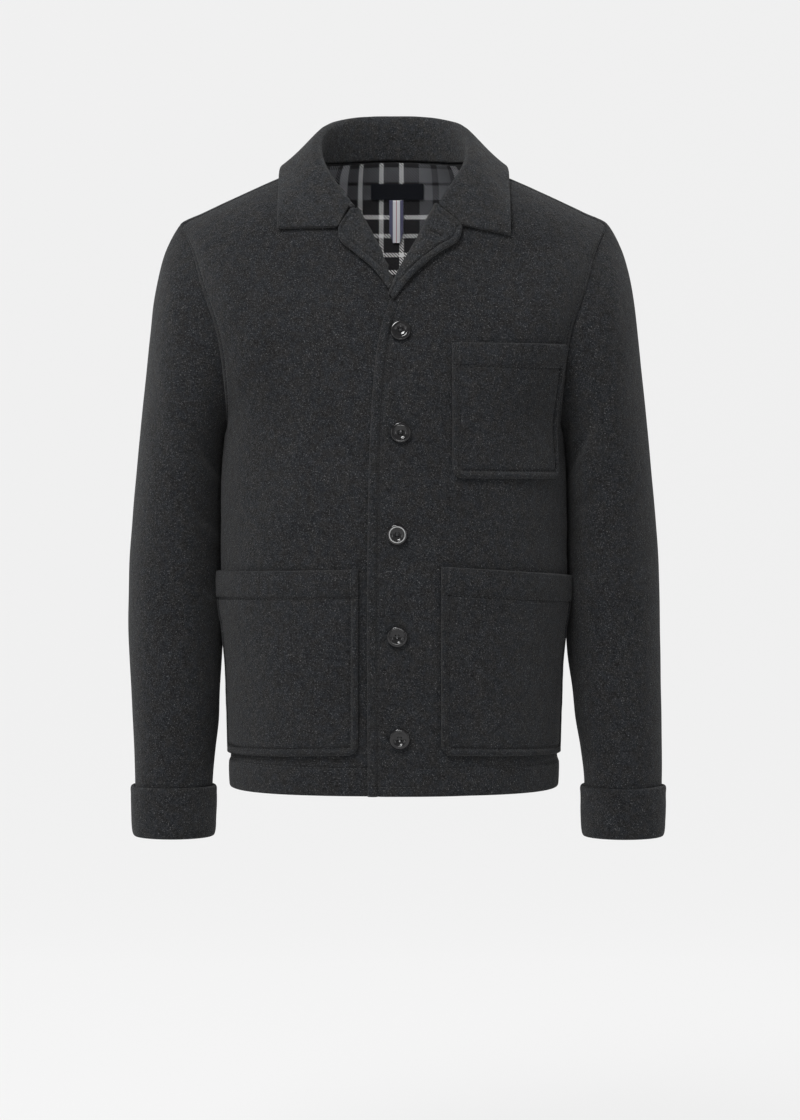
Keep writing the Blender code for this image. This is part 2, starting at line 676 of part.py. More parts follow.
# Rows of points that lie on a panel's own faces, for a patch that starts at one x. Each row has a width, a
# height, a drop towards its far end and a shortening at both ends where a corner is rounded.
def patch_grid(panel, facing, x_from, widths, levels, drops, corners):
    columns = range(panel.shape[1])
    lines = []
    for width, level, drop, corner in zip(widths, levels, drops, corners):
        share = np.zeros(len(columns))
        for _ in range(2):
            wanted = level - drop * share
            both = np.concatenate([panel, facing], axis=2)
            line = np.array([
                [np.interp(wanted[j], panel[:, j, 2], both[:, j, i]) for i in range(6)] for j in columns
            ])
            steps = np.linalg.norm(np.diff(line[:, :3], axis=0), axis=1)
            lengths = np.concatenate([[0.0], np.cumsum(steps)])
            peak = int(np.argmax(line[:, 0])) + 1
            start = np.interp(x_from, line[:peak, 0], lengths[:peak])
            share = np.clip((lengths - start) / width, 0, 1)
        lines.append((line, lengths, start + corner, start + width - corner))
    inside = [j for j in columns if any(start < lengths[j] < end for _, lengths, start, end in lines)]
    rows = []
    for line, lengths, start, end in lines:
        count = len(inside)
        low = start + 1.5 * np.arange(1, count + 1)
        high = end - 1.5 * np.arange(count, 0, -1)
        at = [start, *np.clip(lengths[inside], low, high), end]
        rows.append([[np.interp(a, lengths, line[:, i]) for i in range(6)] for a in at])
    rows = np.array(rows)
    return rows[..., :3], unit(rows[..., 3:])


def pockets(collection, grids):
    for name, side, x_from, top_width, bottom_width, top, bottom, top_drop, bottom_drop, band in POCKETS:
        panel = grids[side]
        under_band = top - band - BAND_STEP / 2
        rows = math.ceil((under_band - bottom - POCKET_CORNER) / POCKET_ROW)
        levels = [top, under_band + BAND_STEP]
        levels += list(np.linspace(under_band, bottom + POCKET_CORNER, rows + 1)[:-1])
        levels += [bottom + height for height, _ in CORNER_ROWS]
        corners = [0.0] * (len(levels) - len(CORNER_ROWS)) + [short for _, short in CORNER_ROWS]
        down = (top - np.array(levels)) / (top - bottom)
        drops = top_drop + (bottom_drop - top_drop) * down
        widths = top_width + (bottom_width - top_width) * down
        points, away = patch_grid(panel, normals(panel), x_from, widths, levels, drops, corners)
        thick = np.array([PATCH_BAND] * 2 + [PATCH_WALL] * (len(levels) - 2))[:, None, None]
        inner = points + away * POCKET_CLEAR
        outer = points + away * (POCKET_CLEAR + thick)
        turn = (lambda g: g) if side > 0 else mirrored
        add(collection, name, solid(name, turn(outer), turn(inner)), "wool")


# Half the section of a disc with a raised rim and a dished middle
def button_mesh():
    mesh = bpy.data.meshes.new("button")
    edges = [(i, i + 1) for i in range(len(BUTTON_PROFILE) - 1)]
    mesh.from_pydata([(radius * MM, 0, z * MM) for radius, z in BUTTON_PROFILE], edges, [])
    return mesh


def buttons(collection, panel):
    facing = normals(panel)
    for i, x in enumerate(BUTTON_X):
        level = BUTTON_TOP_Z - BUTTON_PITCH * i
        points, away = patch_grid(panel, facing, x - BUTTON_RADIUS, [2 * BUTTON_RADIUS], [level], [0], [0])
        place, direction = points[0].mean(axis=0), unit(away[0].mean(axis=0))
        item = add(collection, f"button_{i + 1}", button_mesh(), "button")
        turning = item.modifiers.new("turned", "SCREW")
        turning.steps = turning.render_steps = BUTTON_STEPS
        turning.use_merge_vertices = True
        turning.merge_threshold = 0.0001
        turning.use_normal_calculate = True
        item.location = (place + direction * BUTTON_CLEAR) * MM
        item.rotation_euler = mathutils.Vector(direction).to_track_quat("Z", "Y").to_euler()


# The bare label and the ribbon loop inside the back neck
def neck_trim(collection, back_inside):
    facing = normals(back_inside)
    for name, x, top, (width, height, thick), finish in (
        ("label", LABEL_X, LABEL_TOP_Z, LABEL_SIZE, "label"),
        ("hanger_loop", LOOP_X, LOOP_TOP_Z, LOOP_SIZE, "ribbon"),
    ):
        levels = np.linspace(top, top - height, TRIM_ROWS)
        plain = np.zeros(TRIM_ROWS)
        points, away = patch_grid(back_inside, facing, x - width / 2, plain + width, levels, plain, plain)
        outer, inner = points + away * (TRIM_CLEAR + thick), points + away * TRIM_CLEAR
        add(collection, name, solid(name, outer, inner), finish)


def main():
    for item in list(bpy.data.objects):
        bpy.data.objects.remove(item)
    collection = bpy.data.collections.new("jacket")
    bpy.context.scene.collection.children.link(collection)
    grids = body(collection)
    cuffs(collection, grids["sleeve"])
    collar(collection, grids, grids["back"])
    lapels(collection, grids)
    pockets(collection, grids)
    buttons(collection, grids[1])
    neck_trim(collection, grids["back"][1])


main()
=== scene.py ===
# A charcoal wool chore jacket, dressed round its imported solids: cloth shells, rims, seams, stitches, buttons.
# The tables are in millimetres, as a pattern cutter writes them, and become metres as each mesh is made.
import math

import bmesh
import bpy
import numpy as np
from mathutils import Matrix, Vector


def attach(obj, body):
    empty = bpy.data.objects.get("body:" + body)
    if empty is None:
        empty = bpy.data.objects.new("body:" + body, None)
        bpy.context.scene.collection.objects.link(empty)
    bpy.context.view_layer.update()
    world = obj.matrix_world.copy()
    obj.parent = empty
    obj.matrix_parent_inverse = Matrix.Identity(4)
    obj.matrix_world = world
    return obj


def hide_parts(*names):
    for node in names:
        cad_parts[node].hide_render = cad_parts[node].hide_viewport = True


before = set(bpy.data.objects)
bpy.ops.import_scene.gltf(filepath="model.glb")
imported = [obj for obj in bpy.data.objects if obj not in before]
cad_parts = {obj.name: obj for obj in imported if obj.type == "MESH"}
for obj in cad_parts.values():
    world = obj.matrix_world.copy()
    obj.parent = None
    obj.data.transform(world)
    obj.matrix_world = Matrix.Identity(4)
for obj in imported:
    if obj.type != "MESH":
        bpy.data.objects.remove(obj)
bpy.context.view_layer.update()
mm = 0.001
wall = 2.8      # the cloth's thickness
seamGap = 0.3
hemZ = -665.0
threads = []    # stitch lines, each a list of points and the direction that faces out

print("frame loaded")


# The camera stands where the photograph was taken from: 4 m in front, a little above the chest
cameraView = {"place": (0.0064, -4.0, -0.270), "lens": 120.2, "shiftY": -0.130}


def makeCamera():
    data = bpy.data.cameras.new("camera")
    data.lens = cameraView["lens"]
    data.shift_y = cameraView["shiftY"]
    camera = linked("camera", data)
    camera.location = cameraView["place"]
    camera.rotation_euler = (math.radians(90), 0, 0)
    bpy.context.scene.camera = camera


def sided(name, side):
    return f"{name}_left" if side > 0 else f"{name}_right"


def mirrored(grid):
    return grid * (-1, 1, 1)


# Grids are made on the wearer's left, and placed on the side that they belong to
def placed(grid, side):
    return grid if side > 0 else mirrored(grid)


def linked(name, data):
    item = bpy.data.objects.new(name, data)
    bpy.context.scene.collection.objects.link(item)
    return item


# Curves, lengths and directions

def through(keys, values, at):
    keys = np.asarray(keys, float)
    values = np.asarray(values, float)
    flat = values.reshape(len(keys), -1)
    slopes = np.gradient(flat, keys, axis=0)
    at = np.clip(np.atleast_1d(at), keys[0], keys[-1])
    index = np.clip(np.searchsorted(keys, at, side="right") - 1, 0, len(keys) - 2)
    span = (keys[index + 1] - keys[index])[:, None]
    t = (at[:, None] - keys[index][:, None]) / span
    found = (
        (2 * t**3 - 3 * t**2 + 1) * flat[index]
        + (t**3 - 2 * t**2 + t) * span * slopes[index]
        + (3 * t**2 - 2 * t**3) * flat[index + 1]
        + (t**3 - t**2) * span * slopes[index + 1]
    )
    return found.reshape((len(at),) + values.shape[1:])


def rowOf(table, at):
    table = np.asarray(table, float)
    return through(table[:, 0], table[:, 1:], at)[0]


def unit(vectors):
    vectors = np.asarray(vectors, float)
    return vectors / np.maximum(np.linalg.norm(vectors, axis=-1, keepdims=True), 1e-9)


def ease(t):
    t = np.clip(t, 0.0, 1.0)
    return t * t * (3 - 2 * t)


# Rises from 0 at its start to 1 a length further on, which is negative where it rises the other way
def fadeIn(values, start, over):
    return ease((values - start) / over)


# A smooth hump in a distance: 1 at its place, and fading over its reach
def hump(distance, place, reach):
    return np.exp(-(((distance - place) / reach) ** 2))


def lengthsAlong(points, axis=0):
    steps = np.linalg.norm(np.diff(points, axis=axis), axis=-1)
    start = np.zeros_like(np.take(steps, [0], axis=axis))
    return np.concatenate([start, np.cumsum(steps, axis=axis)], axis=axis)


def normalsOf(grid, closed=False, flip=False):
    along = np.gradient(grid, axis=0)
    if closed:
        across = (np.roll(grid, -1, axis=1) - np.roll(grid, 1, axis=1)) / 2
    else:
        across = np.gradient(grid, axis=1)
    found = unit(np.cross(across, along))
    return -found if flip else found


# The body's cut: side seam, armhole, shoulder and the rows across each half

bodyCut = {
    "sideRows": 9, "armholeRows": 10, "shoulderRows": 6, "frontColumns": 14, "backColumns": 10,
    # share of its length, x, y, z
    "sideSeam": (
        (0.00, 175.0, 8.0, hemZ), (0.17, 177.0, 8.0, -600.0), (0.37, 179.0, 8.0, -528.0),
        (0.62, 182.0, 9.0, -434.0), (0.82, 180.5, 10.0, -360.0), (1.00, 179.0, 10.0, -292.0),
    ),
    "shoulderTip": (229.0, 8.0, -66.0),
    "armpit": (179.0, 10.0, -292.0),
    "armholeFront": (
        (215.0, -30.0, -95.0), (204.0, -58.0, -133.0), (187.0, -72.0, -183.0), (179.0, -57.0, -243.0),
    ),
    "armholeBack": (
        (182.5, 66.0, -257.0), (190.0, 91.0, -208.0), (202.0, 88.0, -152.0), (216.0, 58.0, -100.0),
    ),
    "neckPoint": (82.0, 0.0, 0.0),
    "shoulderArch": 1.5,
    # key, middle y, z, how far the row runs straight at each end, its direction at the outer edge
    "front": (
        (0.00, -136.0, hemZ, 128.0, 98.0, -0.04, 0.999, 0.0),
        (0.30, -140.0, -553.0, 127.0, 94.0, -0.05, 0.999, 0.0),
        (0.65, -140.0, -424.0, 126.0, 94.0, -0.07, 0.998, 0.0),
        (1.00, -137.0, -300.0, 124.0, 92.0, -0.03, 1.0, 0.0),
        (1.22, -133.0, -252.0, 122.0, 50.0, 0.28, 0.96, 0.0),
        (1.50, -126.0, -207.0, 118.0, 46.0, 0.50, 0.86, 0.05),
        (1.75, -115.0, -165.0, 116.0, 58.0, 0.45, 0.88, 0.12),
        (2.00, -102.0, -118.0, 112.0, 68.0, 0.22, 0.95, 0.22),
        (2.50, -95.0, -92.0, 78.0, 64.0, 0.03, 0.99, 0.14),
        (3.00, -88.0, -70.0, 50.0, 50.0, -0.03, 0.95, 0.32),
    ),
    "back": (
        (0.00, 126.0, hemZ, 122.0, 78.0, 0.07, -0.998, 0.0),
        (0.30, 122.0, -553.0, 126.0, 78.0, 0.07, -0.998, 0.0),
        (0.65, 119.0, -424.0, 128.0, 80.0, 0.07, -0.998, 0.0),
        (0.85, 121.5, -350.0, 128.0, 88.0, 0.01, -1.0, 0.0),
        (1.00, 124.0, -296.0, 128.0, 96.0, -0.09, -0.996, 0.0),
        (1.22, 126.5, -243.0, 122.0, 68.0, 0.00, -1.0, 0.0),
        (1.50, 126.5, -192.0, 114.0, 58.0, 0.40, -0.92, 0.02),
        (1.75, 122.0, -138.0, 108.0, 58.0, 0.42, -0.90, 0.06),
        (2.00, 111.0, -84.0, 104.0, 62.0, 0.22, -0.96, 0.10),
        (2.50, 95.0, -36.0, 74.0, 58.0, 0.05, -0.99, 0.04),
        (3.00, 78.0, 5.0, 44.0, 40.0, 0.00, -0.995, 0.06),
    ),
    # the free edge of each front from the hem up, then the roll line up to the collar: z, x
    "edges": {
        1: (
            (hemZ, -27.0), (-400.0, -27.0), (-305.0, -25.0), (-240.0, -21.5), (-196.0, -16.5),
            (-172.0, -11.0), (-152.0, -4.0), (-137.0, 1.5), (-122.0, 9.0), (-104.0, 20.0),
            (-54.0, 46.5), (-40.0, 53.0),
        ),
        -1: (
            (hemZ, -36.0), (-400.0, -36.0), (-260.0, -33.0), (-205.0, -24.0), (-165.0, -12.0),
            (-137.0, 0.5), (-120.0, 8.0), (-95.0, 21.0), (-54.0, 42.5), (-40.0, 49.0),
        ),
    },
    "lapFullX": 42.0, "lapNoneX": 78.0,
}


def halfSeam(points):
    points = np.asarray(points, float)
    steps = np.linalg.norm(np.diff(points, axis=0), axis=1)
    return points, np.concatenate([[0.0], np.cumsum(steps) / steps.sum()])


def armhole(at):
    front, frontKeys = halfSeam((bodyCut["shoulderTip"], *bodyCut["armholeFront"], bodyCut["armpit"]))
    back, backKeys = halfSeam((bodyCut["armpit"], *bodyCut["armholeBack"], bodyCut["shoulderTip"]))
    keys = np.concatenate([[backKeys[-2] - 2], frontKeys - 1, backKeys[1:], [frontKeys[1] + 1]])
    points = np.concatenate([back[-2:-1], front, back[1:], front[1:2]])
    return through(keys, points, at)


def outerEdge(key, back):
    if key <= 1:
        return rowOf(bodyCut["sideSeam"], key)
    if key <= 2:
        return armhole(key - 1 if back else 1 - key)[0]
    tip, neck = np.array(bodyCut["shoulderTip"]), np.array(bodyCut["neckPoint"])
    t = key - 2
    return tip + (neck - tip) * t + np.array((0.0, 0.0, bodyCut["shoulderArch"] * math.sin(math.pi * t)))


def bodyRow(key, back, samples=61):
    y, z, straightIn, straightOut, *heading = rowOf(bodyCut["back" if back else "front"], key)
    start, end = np.array((0.0, y, z)), outerEdge(key, back)
    near = start + np.array((straightIn, 0.0, 0.0))
    far = end - unit(heading) * straightOut
    t = np.linspace(0, 1, samples)[:, None]
    points = (1 - t) ** 3 * start + 3 * (1 - t) ** 2 * t * near + 3 * (1 - t) * t**2 * far + t**3 * end
    return points, lengthsAlong(points)


def onRow(row, distance):
    points, lengths = row
    point = np.array([np.interp(abs(distance), lengths, points[:, i]) for i in range(3)])
    if distance < 0:
        point[0] = -point[0]
    return point


def edgeX(edge, z):
    table = np.array(sorted(edge))
    return through(table[:, 0], table[:, 1:], z)[0][0]


def distanceAtEdge(row, edge):
    low, high = -60.0, row[1][-1]
    for _ in range(40):
        middle = (low + high) / 2
        point = onRow(row, middle)
        if point[0] > edgeX(edge, point[2]):
            high = middle
        else:
            low = middle
    return (low + high) / 2


def bodyKeys():
    return np.concatenate([
        np.linspace(0, 1, bodyCut["sideRows"] + 1)[:-1],
        np.linspace(1, 2, bodyCut["armholeRows"] + 1)[:-1],
        np.linspace(2, 3, bodyCut["shoulderRows"] + 1),
    ])


# Evens a grid without shrinking it, and leaves its four edges as they are
def evened(grid, passes=9):
    for _ in range(passes):
        for amount in (0.5, -0.52):
            around = (grid[:-2, 1:-1] + grid[2:, 1:-1] + grid[1:-1, :-2] + grid[1:-1, 2:]) / 4
            grid = grid.copy()
            grid[1:-1, 1:-1] += amount * (around - grid[1:-1, 1:-1])
    return grid


def frontGrid(side):
    edge = bodyCut["edges"][side]
    shares = np.linspace(0, 1, bodyCut["frontColumns"] + 1)
    grid = []
    for key in bodyKeys():
        row = bodyRow(key, False)
        start, end = distanceAtEdge(row, edge), row[1][-1]
        grid.append([onRow(row, start + (end - start) * t) for t in shares])
    grid = evened(np.array(grid))
    if side > 0:
        lapped = ease((bodyCut["lapNoneX"] - grid[..., 0]) / (bodyCut["lapNoneX"] - bodyCut["lapFullX"]))
        grid = grid + normalsOf(grid) * ((wall + seamGap) * lapped)[..., None]
    return grid


def backGrid():
    grid = []
    for key in bodyKeys():
        row = bodyRow(key, True)
        half = [onRow(row, row[1][-1] * t) for t in np.linspace(0, 1, bodyCut["backColumns"] + 1)]
        grid.append([point * (-1, 1, 1) for point in half[:0:-1]] + half)
    return evened(np.array(grid))


sleeveCut = {
    "steps": 19, "blendSteps": 5,
    # x and z of the outer line, x and z of the inner line, middle y, front y, back y
    "rings": (
        (229.0, -66.0, 179.0, -292.0, 9.0, -72.0, 92.0),
        (238.5, -81.5, 180.6, -296.0, 10.0, -73.0, 92.0),
        (248.5, -105.0, 181.3, -303.0, 11.0, -73.0, 92.0),
        (257.0, -146.0, 181.8, -314.0, 12.0, -71.0, 91.0),
        (262.5, -195.0, 182.4, -334.0, 13.0, -68.0, 89.0),
        (269.5, -262.0, 183.4, -363.0, 13.0, -64.0, 86.0),
        (276.5, -337.0, 183.9, -403.0, 12.0, -59.0, 80.0),
        (283.0, -418.0, 184.2, -455.0, 9.0, -56.0, 72.0),
        (284.5, -500.0, 183.6, -515.0, 4.0, -55.0, 62.0),
        (283.0, -568.0, 187.0, -572.0, -1.0, -53.0, 52.0),
        (282.0, -619.0, 194.0, -620.0, -5.0, -51.0, 43.0),
        (281.0, -662.0, 198.5, -662.0, -7.0, -50.0, 38.0),
        (279.5, -711.0, 200.0, -711.0, -8.0, -49.0, 35.0),
    ),
    "sway": 4.8, "swayFromZ": -470.0, "swayToZ": -665.0,
    # soft folds: place down the sleeve, place round it, depth, length along, length round
    "folds": (
        (0.30, 0.30, 3.2, 0.050, 0.16), (0.44, 0.22, 2.6, 0.040, 0.14), (0.62, 0.26, 2.4, 0.040, 0.15),
        (0.74, 0.55, 2.6, 0.040, 0.18), (0.50, 0.74, 3.0, 0.050, 0.15), (0.35, 0.80, 3.2, 0.050, 0.14),
    ),
}


def sleeveGrid():
    around = np.linspace(-1, 1, 2 * bodyCut["armholeRows"] + 1)[:-1]
    angles = (around + 1) * math.pi
    rings = sleeveCut["rings"]
    rows = through(np.linspace(0, 1, len(rings)), rings, np.linspace(0, 1, sleeveCut["steps"] + 1))
    seam = armhole(around)

    def ellipse(row, front, back):
        outerX, outerZ, innerX, innerZ, y = row[:5]
        outer, inner = np.array((outerX, y, outerZ)), np.array((innerX, y, innerZ))
        centre, reach = (outer + inner) / 2, (outer - inner) / 2
        side = np.where((angles < math.pi)[:, None], front - centre, back - centre)
        return centre + reach * np.cos(angles)[:, None] + side * np.abs(np.sin(angles))[:, None]

    def sides(row):
        middleX, middleZ = (row[0] + row[2]) / 2, (row[1] + row[3]) / 2
        return np.array(((middleX, row[5], middleZ), (middleX, row[6], middleZ)))

    quarter = bodyCut["armholeRows"] // 2
    seamSides = seam[[quarter, -quarter]]
    seamShape = ellipse(rows[0], *seamSides)
    grid = []
    for row in rows:
        blend = 1 - ease(len(grid) / sleeveCut["blendSteps"])
        front, back = sides(row) + (seamSides - sides(rows[0])) * blend
        grid.append(ellipse(row, front, back) + (seam - seamShape) * blend)
    grid = np.array(grid)
    grid[0] = seam
    out = normalsOf(grid, closed=True)
    down = np.linspace(0, 1, len(grid))[:, None]
    turn = (around[None, :] + 1) / 2
    for at, place, depth, length, width in sleeveCut["folds"]:
        apart = np.minimum(np.abs(turn - place), 1 - np.abs(turn - place))
        dent = depth * np.exp(-(((down - at - 0.25 * (turn - place)) / length) ** 2) - (apart / width) ** 2)
        grid = grid - out * (dent * ease(down / 0.15))[..., None]
    return grid


def swayed(grid, side):
    grid = placed(grid, side)
    share = ease((sleeveCut["swayFromZ"] - grid[..., 2]) / (sleeveCut["swayFromZ"] - sleeveCut["swayToZ"]))
    return grid + sleeveCut["sway"] * share[..., None] * np.array((1.0, 0, 0))


# Fine surfaces: the coarse grids above, drawn again with close rows where a rim or a stitch line needs them

# Where body and sleeve meet, their cloth faces out from one point, near the seam and above the armpit
seamTurn = {"centre": (150.0, 9.0, -190.0), "reach": 4.5, "aboveArmpit": (-299.0, 14.0)}
rimSteps = (0.0, 0.3, 0.9, 1.8, 3.0, 4.6, 6.4, 8.2, 9.5, 10.3, 11.0, 11.7, 12.5, 13.8, 15.8)
seamSteps = (0.0, 0.4, 1.2, 2.4, 4.2, 6.0, 7.0, 7.8, 8.6, 9.8, 12.0)
plainSteps = (0.0, 0.4, 1.2, 2.6)


def spread(total, step, near, far):
    near, far = np.array(near, float), np.array(far, float)
    start, end = near[-1], total - far[-1]
    count = max(int(round((end - start) / step)), 1)
    return np.concatenate([near, np.linspace(start, end, count + 1)[1:-1], (total - far)[::-1]])


# Places of close rows down a line, and their lengths down it
def closeRows(line, step, near, far):
    rows = len(line)
    fineAt = np.linspace(0, rows - 1, 12 * (rows - 1) + 1)
    spine = lengthsAlong(through(np.arange(rows), line, fineAt))
    rowAt = np.interp(spread(spine[-1], step, near, far), spine, fineAt)
    return rowAt, np.interp(rowAt, fineAt, spine)


# Rows at even lengths along the middle column, then columns at even lengths along each row. The lengths
# near either edge are kept, and those between them stretch.
def finer(grid, rowStep, columnStep, rowNear, rowFar, columnNear, columnFar, guide=None):
    rows, columns = grid.shape[:2]
    rowAt, down = closeRows(grid[:, columns // 2 if guide is None else guide], rowStep, rowNear, rowFar)
    drawn = through(np.arange(rows), grid, rowAt).swapaxes(0, 1)
    denseAt = np.linspace(0, columns - 1, 10 * (columns - 1) + 1)
    dense = through(np.arange(columns), drawn, denseAt).swapaxes(0, 1)
    lengths = lengthsAlong(dense, axis=1)
    total = np.median(lengths[:, -1])
    base = spread(total, columnStep, columnNear, columnFar)
    near, far = columnNear[-1], columnFar[-1]
    found, across = [], []
    for line, length in zip(dense, lengths):
        at = np.interp(base, (0, near, total - far, total), (0, near, length[-1] - far, length[-1]))
        found.append(np.stack([np.interp(at, length, line[:, i]) for i in range(3)], axis=1))
        across.append(at)
    across = np.array(across)
    return np.array(found), across, across[:, -1:] - across, down


def finerRing(grid, step, rowNear, rowFar):
    rows, columns = grid.shape[:2]
    rowAt, down = closeRows(grid[:, 0], step, rowNear, rowFar)
    drawn = through(np.arange(rows), ringPadded(grid.swapaxes(0, 1)).swapaxes(0, 1), rowAt)
    count = int(ringLength(grid[5])[-1] / step)
    at = 3 + np.linspace(0, columns, count + 1)[:-1]
    return through(np.arange(columns + 7), drawn.swapaxes(0, 1), at).swapaxes(0, 1), down, at


# A ring with three points more at its start and four at its end, so that a curve runs smoothly round it
def ringPadded(ring):
    return np.concatenate([ring[-3:], ring, ring[:4]])


def ringLength(ring):
    return lengthsAlong(np.concatenate([ring, ring[:1]]))


# A rim: the cloth swells between its edge and the line of stitches, and dips at the stitches
def rim(distance, stitch, swell, dip, width=1.5):
    inside = np.clip(distance / stitch, 0, 1)
    return swell * np.sin(math.pi * inside) ** 0.6 - dip * hump(distance, stitch, width)


# The share of its thickness that the cloth keeps at a distance from its rounded edge
def rounded(distance, radius=2.0, keeps=0.3):
    return keeps + (1 - keeps) * np.sqrt(1 - (1 - np.clip(distance / radius, 0, 1)) ** 2)


# At the armhole the cloth of body and sleeve turns one way, out from one point, so the seam stays shut
def seamFacing(grid, facing, distance):
    near = hump(distance, 0, seamTurn["reach"]) * fadeIn(grid[..., 2], *seamTurn["aboveArmpit"])
    away = unit(grid - np.array(seamTurn["centre"]))
    return unit(facing * (1 - near)[..., None] + away * near[..., None])


# Small uneven waves, the same on every run
def ripple(points, size, seed):
    turns = np.random.default_rng(seed).uniform(-1, 1, (6, 3))
    shifts = np.random.default_rng(seed + 1).uniform(0, 2 * math.pi, 6)
    waves = [np.sin((points @ unit(turn)) * 2 * math.pi / (size * (0.7 + 0.12 * i)) + shift)
             for i, (turn, shift) in enumerate(zip(turns, shifts))]
    return sum(waves) / 6


# Soft folds of the whole body: x, z, turn in degrees, length, width, depth
bodyFolds = {
    "front": (
        (-118.0, -300.0, 78.0, 105.0, 22.0, 2.2), (-62.0, -330.0, 84.0, 120.0, 26.0, 1.4),
        (-140.0, -232.0, 52.0, 60.0, 15.0, 2.0), (118.0, -180.0, 40.0, 50.0, 16.0, 1.2),
        (92.0, -372.0, 8.0, 80.0, 16.0, 1.6), (140.0, -398.0, -14.0, 50.0, 14.0, 1.6),
        (-108.0, -402.0, -6.0, 70.0, 15.0, 1.3), (44.0, -300.0, 86.0, 90.0, 20.0, 1.0),
        (-150.0, -150.0, 62.0, 50.0, 14.0, 1.2), (60.0, -520.0, 88.0, 90.0, 20.0, 0.9),
    ),
    "back": (
        (-120.0, -250.0, 60.0, 80.0, 18.0, 2.6), (126.0, -262.0, -58.0, 84.0, 18.0, 2.8),
        (-70.0, -380.0, 82.0, 120.0, 26.0, 2.0), (52.0, -420.0, -84.0, 130.0, 28.0, 1.8),
        (0.0, -60.0, 2.0, 90.0, 18.0, 1.6), (132.0, -470.0, -70.0, 70.0, 18.0, 1.8),
        (-138.0, -500.0, 72.0, 80.0, 18.0, 1.9), (8.0, -560.0, 88.0, 70.0, 24.0, 1.4),
    ),
}


def foldDepth(points, folds):
    found = np.zeros(points.shape[:-1])
    for x, z, turn, length, width, depth in folds:
        turn = math.radians(turn)
        over, up = points[..., 0] - x, points[..., 2] - z
        along = over * math.cos(turn) + up * math.sin(turn)
        aside = -over * math.sin(turn) + up * math.cos(turn)
        aside = aside + 0.0016 * along**2 * math.copysign(1, x)
        beside = 0.45 * hump(aside, 1.7 * width, width)
        found += depth * hump(along, 0, length) * (hump(aside, 0, width) - beside)
    return found


# Meshes

def meshOf(name, points, faces, cut, materials, slots=None):
    mesh = bpy.data.meshes.new(name)
    mesh.from_pydata((points * mm).tolist(), [], faces.tolist())
    layer = mesh.uv_layers.new(name="cut")
    layer.data.foreach_set("uv", (cut * mm).astype(np.float32).ravel())
    for material in materials:
        mesh.materials.append(material)
    if slots is not None:
        mesh.polygons.foreach_set("material_index", slots)
    mesh.shade_smooth()
    mesh.update()
    half = 0.5 * sum(polygon.area for polygon in mesh.polygons)
    print(f"{name}: {len(faces) * 2} triangles, {half:.4f} m2")
    return linked(name, mesh)


def volumeOf(points, quads):
    a, b, c, d = (points[quads[:, i]] for i in range(4))
    return (np.einsum("ij,ij->i", a, np.cross(b, c)) + np.einsum("ij,ij->i", a, np.cross(c, d))).sum()


# The faces and their cut, turned so that the faces look outwards
def turnedOut(points, faces, cut):
    if volumeOf(points, faces) < 0:
        faces, cut = faces[:, ::-1], cut[:, ::-1]
    return np.ascontiguousarray(faces), np.ascontiguousarray(cut)


def cornersOf(rows, columns):
    i, j = (g.ravel() for g in np.meshgrid(np.arange(rows), np.arange(columns), indexing="ij"))
    return (i, j), (i, j + 1), (i + 1, j + 1), (i + 1, j)


# A closed shell of cloth between an outer and an inner grid. across and up are the cloth's own lengths.
def shell(name, outer, inner, across, up, materials, closed=False):
    rows, columns = outer.shape[:2]
    count = rows * columns
    points = np.concatenate([outer.reshape(-1, 3), inner.reshape(-1, 3)])
    corners = cornersOf(rows - 1, columns if closed else columns - 1)
    if closed:
        across = np.concatenate([across, across[:, :1] + across[:, -1:] + across[:, 1:2]], axis=1)
        up = np.concatenate([up, up[:, :1]], axis=1)
    quads = np.stack([r * columns + c % columns for r, c in corners], axis=1)
    lay = np.stack([np.stack([across[r, c], up[r, c]], axis=1) for r, c in corners], axis=1)
    ends = [(r, c, r, c + 1) for r in (0, rows - 1) for c in range(columns if closed else columns - 1)]
    if not closed:
        ends += [(r, c, r + 1, c) for c in (0, columns - 1) for r in range(rows - 1)]
    fromRow, fromColumn, toRow, toColumn = np.array(ends).T
    a, b = fromRow * columns + fromColumn % columns, toRow * columns + toColumn % columns
    rims = np.stack([a, b, b + count, a + count], axis=1)
    first = np.stack([across[fromRow, fromColumn], up[fromRow, fromColumn]], axis=1)
    second = np.stack([across[toRow, toColumn], up[toRow, toColumn]], axis=1)
    rimLay = np.stack([first, second, second, first], axis=1)
    # each rim face turns the same way as the outer face beside it
    turned = (fromRow == rows - 1) & (toRow == rows - 1)
    if not closed:
        turned |= (fromColumn == 0) & (toColumn == 0)
    turned &= ~((fromRow == 0) & (toRow == 0))
    rims[~turned] = rims[~turned][:, ::-1]
    rimLay[~turned] = rimLay[~turned][:, ::-1]
    faces = np.concatenate([quads, quads[:, ::-1] + count, rims])
    cut = np.concatenate([lay, lay[:, ::-1], rimLay])
    # the inner face shows the second material, where there is one
    slots = np.zeros(len(faces), np.int32)
    slots[len(quads):2 * len(quads)] = len(materials) - 1
    return meshOf(name, points, *turnedOut(points, faces, cut), materials, slots)


# Attaches a piece to the root and hides the imported solid of its node
def dress(item, node):
    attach(item, "root")
    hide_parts(node)


def stitchLine(points, facing):
    if len(points) > 1:
        threads.append((np.asarray(points), np.asarray(facing)))


# Node helpers

def nodeIn(tree, kind, **values):
    node = tree.nodes.new(kind)
    for name, value in values.items():
        setattr(node, name, value)
    return node


def setInputs(node, values):
    for name, value in values.items():
        node.inputs[name].default_value = value


def objectPlace(tree):
    return nodeIn(tree, "ShaderNodeTexCoord").outputs["Object"]


# The cut's own coordinates, whole and as across and along
def cutPlace(tree):
    where = nodeIn(tree, "ShaderNodeUVMap", uv_map="cut").outputs["UV"]
    split = nodeIn(tree, "ShaderNodeSeparateXYZ")
    tree.links.new(where, split.inputs[0])
    return where, split.outputs


